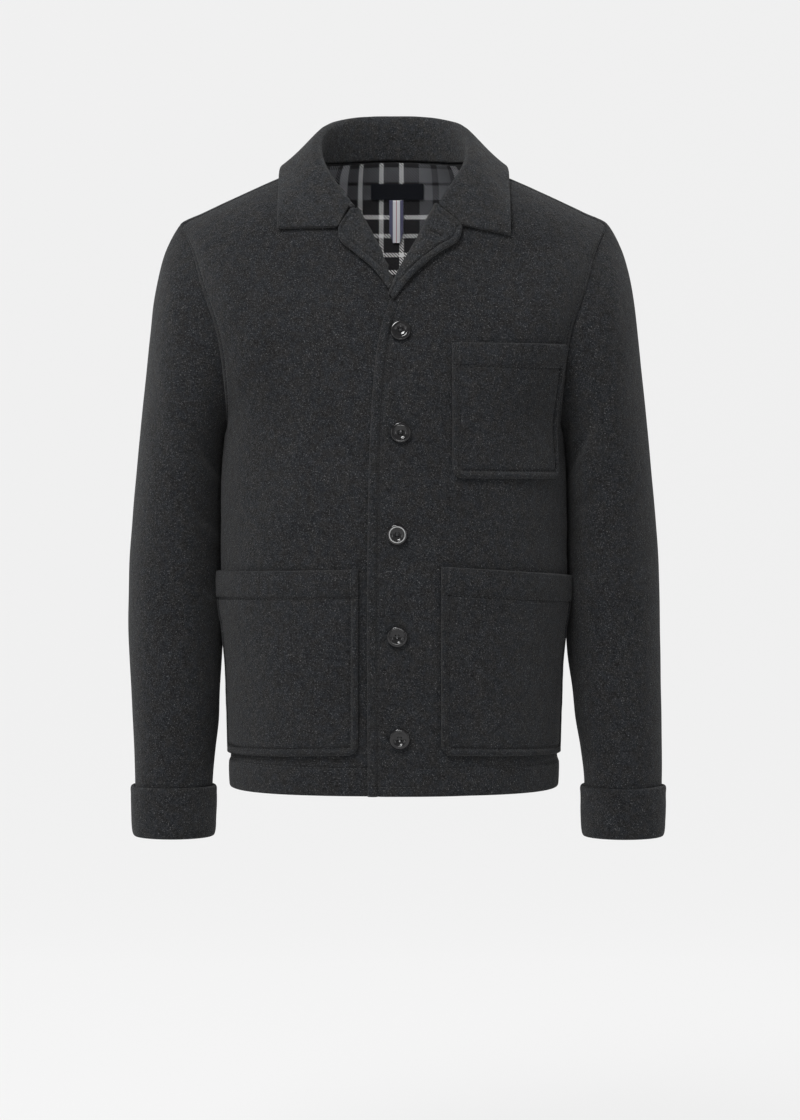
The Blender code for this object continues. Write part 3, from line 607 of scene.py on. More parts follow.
def newGroup(name, inputs, outputs, kind="ShaderNodeTree"):
    tree = bpy.data.node_groups.new(name, kind)
    for title, socket, value in inputs:
        made = tree.interface.new_socket(title, in_out="INPUT", socket_type=socket)
        if value is not None:
            made.default_value = value
    for title, socket in outputs:
        tree.interface.new_socket(title, in_out="OUTPUT", socket_type=socket)
    return tree, tree.nodes.new("NodeGroupInput"), tree.nodes.new("NodeGroupOutput")


def maths(tree, operation, a, b=None, clamp=False):
    node = nodeIn(tree, "ShaderNodeMath", operation=operation, use_clamp=clamp)
    for socket, value in zip(node.inputs, (a, b)):
        if isinstance(value, (int, float)):
            socket.default_value = value
        elif value is not None:
            tree.links.new(value, socket)
    return node.outputs[0]


def times(tree, a, b):
    return maths(tree, "MULTIPLY", a, b)


def plus(tree, a, b, clamp=False):
    return maths(tree, "ADD", a, b, clamp)


def mixed(tree, share, a, b, blend="MIX"):
    node = nodeIn(tree, "ShaderNodeMix", data_type="RGBA", blend_type=blend)
    for socket, value in ((node.inputs[0], share), (node.inputs[6], a), (node.inputs[7], b)):
        if isinstance(value, (int, float)):
            socket.default_value = value
        elif isinstance(value, tuple):
            socket.default_value = (*value, 1) if len(value) == 3 else value
        else:
            tree.links.new(value, socket)
    return node.outputs[2]


def remapped(tree, value, low, high, toLow=0.0, toHigh=1.0):
    node = nodeIn(tree, "ShaderNodeMapRange")
    node.clamp = True
    tree.links.new(value, node.inputs[0])
    for socket, number in zip(node.inputs[1:5], (low, high, toLow, toHigh)):
        socket.default_value = number
    return node.outputs[0]


def noise(tree, where, scale, detail=2.0, roughness=0.5):
    node = nodeIn(tree, "ShaderNodeTexNoise")
    tree.links.new(where, node.inputs["Vector"])
    setInputs(node, {"Scale": scale, "Detail": detail, "Roughness": roughness})
    return node.outputs["Fac"]


# The nap: milled fibres as fine light and dark flecks over soft cloudy patches. Scale is in flecks a metre.
def makeNap():
    tree, given, out = newGroup(
        "woolNap",
        (("Vector", "NodeSocketVector", None), ("Dark", "NodeSocketColor", (0.01, 0.01, 0.01, 1)),
         ("Light", "NodeSocketColor", (0.05, 0.052, 0.056, 1)),
         ("Fleck", "NodeSocketColor", (0.17, 0.175, 0.18, 1)), ("Flecks", "NodeSocketFloat", 1.0)),
        (("Color", "NodeSocketColor"), ("Height", "NodeSocketFloat")),
    )
    where = given.outputs["Vector"]
    grain = noise(tree, where, 540.0, 4.0, 0.75)
    cloud = noise(tree, where, 120.0, 3.0, 0.6)
    patch = noise(tree, where, 14.0, 2.0, 0.5)
    fibre = noise(tree, where, 1150.0, 1.0, 0.5)
    tint = noise(tree, where, 110.0, 2.0)
    tone = remapped(tree, grain, 0.34, 0.66, 0.0, 0.85)
    tone = plus(tree, tone, remapped(tree, cloud, 0.3, 0.7, -0.10, 0.14))
    tone = plus(tree, tone, remapped(tree, patch, 0.35, 0.65, -0.03, 0.04), clamp=True)
    base = mixed(tree, tone, given.outputs["Dark"], given.outputs["Light"])
    hue = mixed(tree, remapped(tree, tint, 0.38, 0.62), (1.04, 1.0, 0.95), (0.95, 1.0, 1.06))
    base = mixed(tree, 1.0, base, hue, "MULTIPLY")
    speck = times(tree, remapped(tree, fibre, 0.63, 0.76), given.outputs["Flecks"])
    tree.links.new(mixed(tree, speck, base, given.outputs["Fleck"]), out.inputs["Color"])
    height = plus(tree, times(tree, grain, 0.7), times(tree, cloud, 0.9))
    tree.links.new(plus(tree, height, times(tree, fibre, 0.35)), out.inputs["Height"])
    return tree


# The wool's finish: colours from dark to light, flecks, bump in metres, roughness, sheen and shine
woolFinish = {
    "dark": (0.0040, 0.0042, 0.0047), "light": (0.0272, 0.0280, 0.0299), "fleck": (0.138, 0.140, 0.144),
    "flecks": 1.0, "bump": 0.0016, "roughness": 0.95, "sheen": 0.07, "specular": 0.1,
}
# collar and lapels get a lighter copy of the wool: painted light, for the stronger light from above on their
# upturned faces
upperLitFinish = {**woolFinish, "dark": (0.0060, 0.0062, 0.0067), "light": (0.0350, 0.0360, 0.0380)}


def plainMaterial(name, colour, roughness, sheen=0.0, specular=0.5):
    material = bpy.data.materials.new(name)
    material.use_nodes = True
    shader = material.node_tree.nodes["Principled BSDF"]
    setInputs(shader, {"Base Color": (*colour, 1), "Roughness": roughness, "Sheen Weight": sheen,
                       "Sheen Roughness": 0.5, "Specular IOR Level": specular})
    return material, material.node_tree, shader


def bumped(tree, shader, height, distance):
    bump = nodeIn(tree, "ShaderNodeBump")
    setInputs(bump, {"Strength": 1.0, "Distance": distance})
    tree.links.new(height, bump.inputs["Height"])
    tree.links.new(bump.outputs["Normal"], shader.inputs["Normal"])


def makeWool(name, finish):
    material, tree, shader = plainMaterial(
        name, finish["light"], finish["roughness"], finish["sheen"], finish["specular"])
    nap = nodeIn(tree, "ShaderNodeGroup", node_tree=napGroup)
    tree.links.new(objectPlace(tree), nap.inputs["Vector"])
    setInputs(nap, {shade.title(): (*finish[shade], 1) for shade in ("dark", "light", "fleck")})
    setInputs(nap, {"Flecks": finish["flecks"]})
    tree.links.new(nap.outputs["Color"], shader.inputs["Base Color"])
    bumped(tree, shader, nap.outputs["Height"], finish["bump"])
    return material


# The inner face is a twilled check. Threads lie in stripes, and each stripe is a place, a width and a tone.
checkWeave = {
    "repeat": 132.0, "twill": 3.4, "blur": 0.35,
    "ground": (0.008, 0.0075, 0.009), "grey": (0.17, 0.175, 0.19),
    "pale": (0.66, 0.66, 0.70), "white": (0.94, 0.94, 0.94), "fuzz": (0.10, 0.10, 0.11),
    "warp": ((-57.0, 9.5, "pale"), (-37.6, 5.0, "white"), (-14.2, 5.0, "white"), (8.2, 5.0, "white"),
             (35.4, 14.5, "grey"), (57.3, 14.5, "grey")),
    "weft": ((-10.5, 17.0, "grey"), (-31.5, 17.0, "grey"), (-59.5, 4.8, "white"), (-81.0, 4.8, "white"),
             (-102.5, 4.8, "white"), (-122.0, 4.8, "white")),
}


def makeCheck():
    material, tree, shader = plainMaterial("insideCheck", (0.2, 0.2, 0.2), 0.92, 0.15, 0.25)
    _, split = cutPlace(tree)
    half, blur = checkWeave["repeat"] / 2, checkWeave["blur"]
    tones = []
    for axis, table in enumerate((checkWeave["warp"], checkWeave["weft"])):
        along = times(tree, split[axis], 1000.0)
        tone = checkWeave["ground"]
        for place, width, shade in table:
            shifted = maths(tree, "SUBTRACT", along, place - half)
            wrapped = maths(tree, "FLOORED_MODULO", shifted, checkWeave["repeat"])
            away = maths(tree, "ABSOLUTE", maths(tree, "SUBTRACT", wrapped, half))
            inside = remapped(tree, away, width / 2 - blur, width / 2 + blur, 1.0, 0.0)
            tone = mixed(tree, inside, tone, checkWeave[shade])
        tones.append(tone)
    slant = times(tree, plus(tree, split[0], split[1]), 1000.0 / checkWeave["twill"])
    wave = maths(tree, "ABSOLUTE", maths(tree, "SUBTRACT", maths(tree, "FRACT", slant), 0.5))
    over = remapped(tree, wave, 0.21, 0.29)
    fuzz = noise(tree, objectPlace(tree), 900.0, 3.0, 0.6)
    fuzzShare = remapped(tree, fuzz, 0.3, 0.75, 0.0, 0.15)
    colour = mixed(tree, fuzzShare, mixed(tree, over, *tones), checkWeave["fuzz"])
    tree.links.new(colour, shader.inputs["Base Color"])
    bumped(tree, shader, plus(tree, times(tree, over, 0.35), fuzz), 0.0007)
    return material


def makeThread():
    material, tree, shader = plainMaterial("seamThread", (0.012, 0.0125, 0.014), 0.6, 0.1)
    twist = noise(tree, objectPlace(tree), 1800.0, 1.0)
    colour = mixed(tree, twist, (0.006, 0.006, 0.007), (0.022, 0.023, 0.025))
    tree.links.new(colour, shader.inputs["Base Color"])
    return material


print("helpers ready")
napGroup = makeNap()
wool = makeWool("charcoalWool", woolFinish)
# the lighter wool paints the light from above onto collar and lapels
upperLitWool = makeWool("upperLitWool", upperLitFinish)
check = makeCheck()
thread = makeThread()
print("cloth materials made")


# Fronts and back

panelCut = {
    "step": 3.3, "backStep": 3.8, "hemFrontPart": 58.0,
    # rims: the line of stitches, swell, dip, and the dip's width where it isn't the usual one
    "frontRim": (11.0, 2.2, 1.8), "hemRim": (29.0, 0.7, 1.5), "hemEdgeRim": (10.0, 0.4, 0.6),
    "armRim": (7.8, 0.6, 0.6, 1.3),
    # fades, each from a place over a length: rims by z, the part under the lap by its distance from the front
    # edge, folds by their distance from the side and from the hem, the back's folds by z
    "armAbove": (-300.0, 16.0), "frontBelow": (-150.0, -26.0), "underLap": (70.0, -20.0),
    "foldsFromSide": (0.0, 40.0), "foldsFromHem": (0.0, 60.0), "backFoldsBelow": (0.0, -30.0),
    # the side seam below the armhole: depth, reach; an edge at a seam: radius, share that is kept
    "seamSink": (0.7, 1.6), "seamEdge": (1.1, 0.8),
    # puckers: height, size, and place and reach at the front edge and at the hem; slow waves: height, size
    "pucker": (0.26, 13.0), "puckerFront": (7.0, 7.0), "puckerHem": (18.0, 12.0), "wave": (0.25, 46.0),
    # the side swells a little under the arm, so that body and sleeve lie together: depth, place from the seam,
    # reach, and where it starts and ends by z
    "underArm": (3.0, 30.0, 20.0, (-266.0, -28.0), (-500.0, 40.0)),
    # and is pressed in low under a hip pocket: depth, where it starts by x, then by z from above and from below
    "besidePocket": (3.6, (118.0, 40.0), (-478.0, -60.0), (-640.0, 16.0)),
    # the hem rises at the side seams: height, reach along the hem, reach up
    "hemCorner": (5.0, 11.0, 14.0),
    # width, length and area of the cut, in metres
    "frontSize": {1: (0.30, 0.72, 0.1745), -1: (0.307, 0.72, 0.1790)}, "backSize": (0.53, 0.72, 0.322),
}
hemSteps = (0.0, 0.3, 0.9, 1.8, 3.0, 5.0, 7.4, 8.8, 10.0, 11.2, 12.8, 15.6, 19.0, 22.4, 25.2, 27.4, 28.4, 29.0,
            29.6, 30.6, 32.8)


# The hem's relief: one line of stitches, and a second, lower one along the first part from the front edge
def hemHeight(up, fromFront):
    beyond = fadeIn(fromFront, panelCut["hemFrontPart"], 4)
    return rim(up, *panelCut["hemRim"]) * beyond + rim(up, *panelCut["hemEdgeRim"]) * (1 - beyond)


frontPanels = {}    # each front's outer face and the way it faces, for what lies on it


def hemRise(up, fromSide):
    height, along, tall = panelCut["hemCorner"]
    rise = height * hump(fromSide, 0, along) * hump(up, 0, tall)
    return rise[..., None] * np.array((0.0, 0.0, 1.0))


# A rim along the armhole, and a sunk seam below it
def seamHeight(fromSide, z):
    above = fadeIn(z, *panelCut["armAbove"])
    depth, reach = panelCut["seamSink"]
    return rim(fromSide, *panelCut["armRim"]) * above - depth * hump(fromSide, 0, reach) * (1 - above)


def waves(points, kind, seed):
    height, size = panelCut[kind]
    return height * ripple(points, size, seed)


# A panel's outer and inner face: folds move the whole cloth, relief only its outside, and its edges are thinner
def panelFaces(grid, facing, up, fromSide, folds, relief, thick):
    middle = grid + facing * (folds - wall / 2)[..., None] + hemRise(up, fromSide)
    half = wall / 2 * thick
    return middle + facing * (half + relief)[..., None], middle - facing * half[..., None]


def makeFront(side):
    grid, fromFront, fromSide, up = finer(
        frontGrid(side), panelCut["step"], panelCut["step"], hemSteps, plainSteps, rimSteps, seamSteps)
    up = np.broadcast_to(up[:, None], fromFront.shape)
    x, z, world = grid[..., 0], grid[..., 2], placed(grid, side)
    lapped = fadeIn(fromFront, *panelCut["underLap"]) * (side < 0)
    below = fadeIn(z, *panelCut["frontBelow"])
    relief = (rim(fromFront, *panelCut["frontRim"]) * below + hemHeight(up, fromFront)) * (1 - lapped)
    relief += seamHeight(fromSide, z)
    nearEdge = hump(fromFront, *panelCut["puckerFront"]) * below + hump(up, *panelCut["puckerHem"])
    relief += waves(world, "pucker", 3) * nearEdge * (1 - lapped)
    relief += waves(world, "wave", 11) * (1 - 0.7 * lapped)
    folds = -foldDepth(world, bodyFolds["front"])
    folds *= fadeIn(fromSide, *panelCut["foldsFromSide"]) * fadeIn(up, *panelCut["foldsFromHem"])
    swell, place, reach, start, end = panelCut["underArm"]
    folds += swell * hump(fromSide, place, reach) * fadeIn(z, *start) * fadeIn(z, *end)
    sink, fromX, top, bottom = panelCut["besidePocket"]
    folds -= sink * fadeIn(x, *fromX) * fadeIn(z, *top) * fadeIn(z, *bottom)
    thick = rounded(fromFront) * rounded(up) * rounded(fromSide, *panelCut["seamEdge"])
    facing = seamFacing(grid, normalsOf(grid), fromSide)
    outer, inner = panelFaces(grid, facing, up, fromSide, folds, relief, thick)
    across = (fromFront + bodyCut["edges"][side][0][1]) * side
    name = sided("front", side)
    item = shell(f"wool_{name}", placed(outer, side), placed(inner, side), across, up + hemZ, (wool, check))
    dress(item, name)
    frontPanels[side] = (outer, facing)
    frontStitches(side, (z < panelCut["frontBelow"][0]) & (up > 10))


def frontStitches(side, shown):
    outer, facing = (placed(grid, side) for grid in frontPanels[side])
    main, edge = (hemSteps.index(panelCut[kind][0]) for kind in ("hemRim", "hemEdgeRim"))
    along = lengthsAlong(outer[main])
    firstPart = along < panelCut["hemFrontPart"]
    if side > 0:
        column = rimSteps.index(panelCut["frontRim"][0])
        rows = shown[:, column]
        stitchLine(outer[rows, column], facing[rows, column])
    beyond = ~firstPart & (along < along[-1] - 2)
    stitchLine(outer[main][beyond], facing[main][beyond])
    if side > 0:
        short = firstPart & (along > 9)
        stitchLine(outer[edge][short], facing[edge][short])
    armStitches(outer, facing, side)


# Along the armhole, from the armpit up to the shoulder's tip
def armStitches(outer, facing, side):
    column = outer.shape[1] - 1 - seamSteps.index(panelCut["armRim"][0])
    fromTip = np.linalg.norm(placed(outer[:, -1], side) - np.array(bodyCut["shoulderTip"]), axis=1)
    rows = np.where(outer[:, column, 2] > bodyCut["armpit"][2] + 4)[0]
    rows = rows[rows <= int(np.argmax(fromTip < 9))]
    stitchLine(outer[rows, column], facing[rows, column])


def makeBack():
    grid, fromOne, fromOther, up = finer(
        backGrid(), panelCut["backStep"], panelCut["backStep"], hemSteps, plainSteps, seamSteps, seamSteps)
    up = np.broadcast_to(up[:, None], fromOne.shape)
    fromSide, z = np.minimum(fromOne, fromOther), grid[..., 2]
    folds = -foldDepth(grid, bodyFolds["back"]) * fadeIn(z, *panelCut["backFoldsBelow"])
    folds *= fadeIn(fromSide, *panelCut["foldsFromSide"]) * fadeIn(up, *panelCut["foldsFromHem"])
    relief = rim(up, *panelCut["hemRim"]) + seamHeight(fromSide, z)
    relief += waves(grid, "pucker", 5) * hump(up, *panelCut["puckerHem"]) + waves(grid, "wave", 17)
    thick = rounded(up) * rounded(fromSide, *panelCut["seamEdge"])
    # the wearer's right half is turned at its armhole as if it were the left one
    turn = np.where(fromOne < fromOther, -1, 1)[..., None] ** np.array((1, 0, 0))
    facing = seamFacing(grid * turn, normalsOf(grid, flip=True) * turn, fromSide) * turn
    outer, inner = panelFaces(grid, facing, up, fromSide, folds, relief, thick)
    lay = up - up[-1, up.shape[1] // 2] + 3.0
    item = shell("wool_back", outer, inner, (fromOne - fromOther) / 2, lay, (wool, check))
    dress(item, "back")
    row = hemSteps.index(panelCut["hemRim"][0])
    stitchLine(outer[row][3:-3], facing[row][3:-3])
    for side in (1, -1):
        armStitches(placed(outer, side), placed(facing, side), side)
    return inner, facing


for side in (1, -1):
    makeFront(side)
backInside, backFacing = makeBack()
print("fronts and back made")


# Sleeves, with creases at the elbow and under the arm: place down, place round, depth, length, width, slant

sleeveLook = {
    "step": 3.8, "size": (0.46, 0.65, 0.189),
    "creases": {
        1: (
            (0.20, 0.42, 1.8, 0.030, 0.10, 0.5), (0.36, 0.36, 1.6, 0.024, 0.12, -0.4),
            (0.53, 0.40, 1.4, 0.020, 0.11, 0.3), (0.58, 0.66, 2.0, 0.020, 0.14, -0.2),
            (0.66, 0.70, 1.8, 0.018, 0.13, 0.2), (0.83, 0.30, 1.0, 0.018, 0.12, 0.2),
            (0.90, 0.60, 1.3, 0.016, 0.14, -0.3),
        ),
        -1: (
            (0.22, 0.40, 1.9, 0.028, 0.11, -0.4), (0.40, 0.38, 1.5, 0.022, 0.12, 0.4),
            (0.56, 0.36, 1.5, 0.020, 0.11, -0.2), (0.60, 0.68, 2.1, 0.020, 0.14, 0.3),
            (0.69, 0.66, 1.6, 0.018, 0.12, -0.2), (0.85, 0.34, 1.1, 0.018, 0.12, -0.3),
            (0.92, 0.62, 1.2, 0.016, 0.14, 0.2),
        ),
    },
    # creases fade by this share along the side that lies by the body: share, place round, reach
    "calmInside": (0.85, 0.5, 0.08),
    # slow waves: height, size; the dip at the armhole seam: depth, reach
    "wave": (0.3, 52.0), "seamDip": (0.35, 2.2),
}
ringSteps = (0.0, 0.5, 1.4, 3.0, 5.5)


def makeSleeve(side, coarse):
    grid, down, at = finerRing(coarse, sleeveLook["step"], ringSteps, plainSteps)
    down = down[:, None]
    share = down / down[-1]
    turn = ((at - 3) / coarse.shape[1])[None, :]
    relief = np.zeros(grid.shape[:2])
    for place, around, depth, length, width, slant in sleeveLook["creases"][side]:
        apart = (turn - around + 0.5) % 1 - 0.5
        line = (share - place - slant * apart * 0.35) / length
        relief -= depth * hump(apart, 0, width) * (hump(line, 0, 1) - 0.5 * hump(line, 1.6, 1))
    calm, place, reach = sleeveLook["calmInside"]
    relief *= ease(share / 0.1) * (1 - calm * hump(turn, place, reach))
    height, size = sleeveLook["wave"]
    relief += height * ripple(grid, size, 23 + side)
    depth, reach = sleeveLook["seamDip"]
    relief -= depth * hump(down, 0, reach)
    thick = rounded(down, *panelCut["seamEdge"]) * rounded(down[-1] - down)
    facing = seamFacing(grid, normalsOf(grid, closed=True), down)
    outer = grid + facing * (wall / 2 * (thick - 1) + relief)[..., None]
    inner = grid - facing * (wall / 2 * (1 + thick) - np.minimum(relief, 0))[..., None]
    across = np.broadcast_to(ringLength(grid[40])[:-1][None, :], grid.shape[:2])
    up = np.broadcast_to(-down, grid.shape[:2])
    name = sided("sleeve", side)
    outer, inner = swayed(outer, side), swayed(inner, side)
    dress(shell(f"wool_{name}", outer, inner, across, up, (wool, check), closed=True), name)


sleeveCoarse = sleeveGrid()
for side in (1, -1):
    makeSleeve(side, sleeveCoarse)
print("sleeves made")


# Turned-back cuffs: a rounded band round the wrist. Its section runs up the outside, over the top edge, down
# behind it and under the sleeve's end: height above the cuff's bottom, distance out from the sleeve.

cuffCut = {
    "bottomZ": -719.0, "columns": 110, "sectionSteps": 76, "size": (0.275, 0.066, 0.0168),
    "section": (
        (0.0, 0.6), (0.3, 2.6), (2.2, 4.0), (7.0, 4.9), (16.0, 5.2), (28.0, 5.3), (40.0, 5.1), (46.0, 4.9),
        (50.5, 5.0), (53.2, 4.3), (54.2, 2.7), (53.2, 1.2), (50.5, 0.8), (40.0, 0.75), (28.0, 0.75),
        (16.0, 0.75), (9.5, 0.7), (7.6, 0.3), (7.4, -1.0), (7.5, -2.6), (7.2, -3.9), (5.5, -4.5), (2.6, -4.4),
        (0.6, -3.2), (0.0, -1.2),
    ),
    # uneven waves in and out, and up and down at the top edge: height, size
    "waves": ((0.35, 34.0, 31), (0.18, 12.0, 37)), "topWave": (0.9, 60.0, 41),
}


def makeCuff(side, coarse):
    away = normalsOf(coarse, closed=True)[-1].copy()
    away[:, 2] = 0
    wrist = coarse[-1]
    lean = (coarse[-2] - wrist) / (coarse[-2][0][2] - wrist[0][2])
    stops = 3 + np.linspace(0, len(cuffCut["section"]), cuffCut["sectionSteps"] + 1)[:-1]
    section = ringPadded(np.array(cuffCut["section"]))
    section = through(np.arange(len(section)), section, stops)
    ringAt = 3 + np.linspace(0, len(wrist), cuffCut["columns"] + 1)[:-1]
    padded = [ringPadded(ring) for ring in (wrist, lean, unit(away))]
    wrist, lean, away = (through(np.arange(len(ring)), ring, ringAt) for ring in padded)
    away = unit(away)
    points = []
    for height, out in section:
        z = cuffCut["bottomZ"] + height
        ring = wrist + lean * (z - wrist[0][2]) + away * out
        ring[:, 2] = z
        points.append(ring)
    points = np.array(points)
    outside = ease((section[:, 1:2] - 1.5) / 2)
    wave = sum(height * ripple(points, size, seed + side) for height, size, seed in cuffCut["waves"])
    points = points + away * (wave * outside)[..., None]
    height, size, seed = cuffCut["topWave"]
    rise = height * ripple(points, size, seed + side) * fadeIn(points[..., 2], cuffCut["bottomZ"] + 30, 20)
    points[..., 2] += rise - rise.max()
    rows, columns = points.shape[:2]
    corners = cornersOf(rows, columns)
    faces = np.stack([(r % rows) * columns + c % columns for r, c in corners], axis=1)
    along, sectionLength = ringLength(points[0]), ringLength(section)
    cut = np.stack([np.stack([along[c], sectionLength[r]], axis=1) for r, c in corners], axis=1)
    points = swayed(points.reshape(-1, 3), side)
    name = sided("cuff", side)
    item = meshOf(f"wool_{name}", points, *turnedOut(points, faces, cut), (wool,))
    dress(item, name)


for side in (1, -1):
    makeCuff(side, sleeveCoarse)
print("cuffs made")


# Collar: up the stand, over the roll and down the fall, with a swollen rim inside its stitches

collarCut = {
    "roll": 6.0, "lift": 5.0, "endFrom": 0.84, "liesFrom": 0.7, "standIn": 1.4, "standUp": 1.4,
    "standFront": (0.0, -3.5, 2.0), "thick": 5.0, "steps": (3.0, 2.4),
    # how many rows up the stand, down the fall and along each half
    "standStops": 15, "fallStops": 31, "shares": 121,
    # share of its length, top of the roll x y z, free edge x y z
    "table": (
        (0.00, 0.0, 80.0, 53.0, 0.0, 112.0, -10.0), (0.16, 31.0, 76.0, 52.5, 41.0, 106.0, -11.0),
        (0.34, 59.0, 56.0, 46.5, 84.0, 80.0, -13.0), (0.50, 75.0, 25.0, 37.0, 108.0, 42.0, -8.5),
        (0.64, 83.0, -7.0, 22.0, 120.5, 4.0, -6.5), (0.80, 81.0, -40.0, -1.0, 122.0, -40.0, -34.0),
        (0.92, 68.0, -62.0, -25.0, 122.5, -70.0, -60.0),
    ),
    # the top of the roll, the notch and the point on each side: x, z
    "ends": {
        1: ((49.5, -52.0), (70.5, -71.5), (122.5, -82.0)),
        -1: ((47.5, -52.0), (58.0, -74.0), (122.5, -75.0)),
    },
    # the rim: line of stitches, swell, dip; waves and puckers: height, size
    "rim": (10.0, 2.0, 1.9), "wave": (0.25, 40.0), "pucker": (0.2, 12.0), "size": (0.58, 0.121, 0.0515),
}


# Where a panel's columns cross a level, which may be one z or one for each column
def levelLine(panel, z):
    columns, levels = panel.swapaxes(0, 1), np.broadcast_to(z, panel.shape[1])
    return np.array([[np.interp(level, column[:, 2], values) for values in column.T]
                     for level, column in zip(levels, columns)])


def frontPoint(panel, x, z):
    line = levelLine(panel, z)
    return np.array([np.interp(x, line[:, 0], values) for values in line.T])


def bezier(points, t):
    a, b, c, d = points
    return (1 - t) ** 3 * a + 3 * (1 - t) ** 2 * t * b + 3 * (1 - t) * t**2 * c + t**3 * d


# One section of the collar: its stand, then its fall, which straightens through the notch towards the end
def collarSection(start, roll, edge, notch, endShare, standStops, fallStops):
    out = unit((edge - start) * (1, 1, 0))
    lift = max(roll[2] - start[2], 1.0)
    bend = min(collarCut["roll"], lift * 0.6)
    stand = [start, start + np.array((0, 0, lift * 0.35)), roll - out * bend, roll]
    fall = [roll, roll + out * bend * 1.2, edge + (roll - edge) * 0.42 - out * 3, edge]
    section = [bezier(stand, t) for t in standStops]
    notchAt = 0.4
    for t in fallStops:
        roundFall = bezier(fall, t)
        if t < notchAt:
            endFall = roll + (notch - roll) * t / notchAt
        else:
            endFall = notch + (edge - notch) * (t - notchAt) / (1 - notchAt)
        section.append(roundFall + (endFall - roundFall) * endShare)
    return section


def collarHalf(panel, back, side):
    standStops = np.linspace(0, 1, collarCut["standStops"])[:-1]
    fallStops = np.linspace(0, 1, collarCut["fallStops"])
    shares = np.linspace(0, 1, collarCut["shares"])
    seam = np.concatenate([back[-1][bodyCut["backColumns"]:], panel[-1][::-1][1:]])
    steps = lengthsAlong(seam)
    rollEnd, notch, tip = (frontPoint(panel, *place) for place in collarCut["ends"][side])
    for point in (rollEnd, notch, tip):
        point[1] -= collarCut["lift"]
    table = np.array([*collarCut["table"], (1.0, *rollEnd, *tip)])
    for row in table[table[:, 0] > collarCut["liesFrom"]]:
        row[5] = frontPoint(panel, row[4], row[6])[1] - collarCut["lift"]
    rows = through(table[:, 0], table[:, 1:], shares)
    starts = np.stack([np.interp(shares * steps[-1], steps, seam[:, i]) for i in range(3)], axis=1)
    middle = []
    for share, row, start in zip(shares, rows, starts):
        start = start * (1 - collarCut["standIn"] / np.hypot(*start[:2])) ** np.array((1, 1, 0))
        endShare = ease((share - collarCut["endFrom"]) / (1 - collarCut["endFrom"]))
        start = start + np.array((0, 0, collarCut["standUp"])) + np.array(collarCut["standFront"]) * endShare
        middle.append(collarSection(start, row[:3], row[3:], notch, endShare, standStops, fallStops))
    return np.array(middle)


def makeCollar(fronts, back):
    left, right = (collarHalf(fronts[side], back, side) for side in (1, -1))
    middle = np.concatenate([mirrored(right[:0:-1]), left])
    grid, fromStand, fromEdge, _ = finer(
        middle, *collarCut["steps"], rimSteps[:-1], rimSteps[:-1], plainSteps, rimSteps,
        guide=middle.shape[1] - 8)
    lengths = lengthsAlong(grid)
    fromEnd = np.minimum(lengths, lengths[-1:] - lengths)
    facing = normalsOf(grid)
    apart = roundedDistance(fromEdge, fromEnd, 4.0)
    (wave, waveSize), (pucker, puckerSize) = collarCut["wave"], collarCut["pucker"]
    relief = rim(apart, *collarCut["rim"]) * fadeIn(fromStand, 45, 12) + wave * ripple(grid, waveSize, 61)
    relief += pucker * ripple(grid, puckerSize, 67) * hump(apart, 6, 6)
    half = collarCut["thick"] / 2 * (rounded(apart, 2.6) * rounded(fromStand, 1.5))
    outer = grid + facing * (half + relief)[..., None]
    inner = grid - facing * half[..., None]
    across = np.broadcast_to((lengths[:, -8:-7] - lengths[-1, -8] / 2), fromStand.shape)
    # the collar wears the lighter wool, with painted light from above
    item = shell("wool_collar", outer, inner, across, fromStand, (upperLitWool,))
    dress(item, "collar")
    stitch = collarCut["rim"][0]
    column = grid.shape[1] - 1 - int(np.argmin(np.abs(np.array(rimSteps) - stitch)))
    row = int(np.argmin(np.abs(lengths[: len(rimSteps), column] - stitch)))
    stitchLine(outer[row:-row, column], facing[row:-row, column])
    down = np.where(fromStand[row] > 70)[0][:column - grid.shape[1]]
    for end in (row, -1 - row):
        stitchLine(outer[end, down], facing[end, down])


# How far a point is from the nearer of two edges that meet in a rounded corner
def roundedDistance(a, b, radius):
    corner = radius - np.hypot(np.clip(radius - a, 0, None), np.clip(radius - b, 0, None))
    return np.where((a < radius) & (b < radius), corner, np.minimum(a, b))


fronts = {side: frontGrid(side) for side in (1, -1)}
makeCollar(fronts, backGrid())
print("collar made")


# Lapels: each turned-out facing rolls round the front's edge and lies on its outside

lapelCut = {
    # share of the length, z of the roll line, free edge x and z
    1: ((0.00, -53.5, 71.0, -74.5), (0.12, -62.5, 68.5, -86.0), (0.40, -84.0, 46.0, -103.0),
        (0.75, -117.0, 18.5, -127.0), (1.00, -148.0, -0.5, -151.0)),
    -1: ((0.00, -53.0, 58.0, -76.5), (0.12, -62.5, 56.5, -87.0), (0.40, -84.0, 41.0, -102.0),
         (0.75, -111.0, 19.5, -121.0), (1.00, -137.0, 4.5, -141.0)),
    "rows": 91, "columns": 57, "thick": 4.4, "clear": 0.9, "rise": 1.1, "thins": 0.35, "turns": (-50, 55),
    "rim": (7.0, 1.5, 1.4, 1.3), "pucker": (0.15, 14.0),
    "size": {1: (0.050, 0.115, 0.0039), -1: (0.045, 0.105, 0.0032)},
    # the slit on the left one: its ends as x and z, its depth and half width
    "slit": ((39.0, -78.5), (50.0, -84.0), 3.8, 1.5),
}


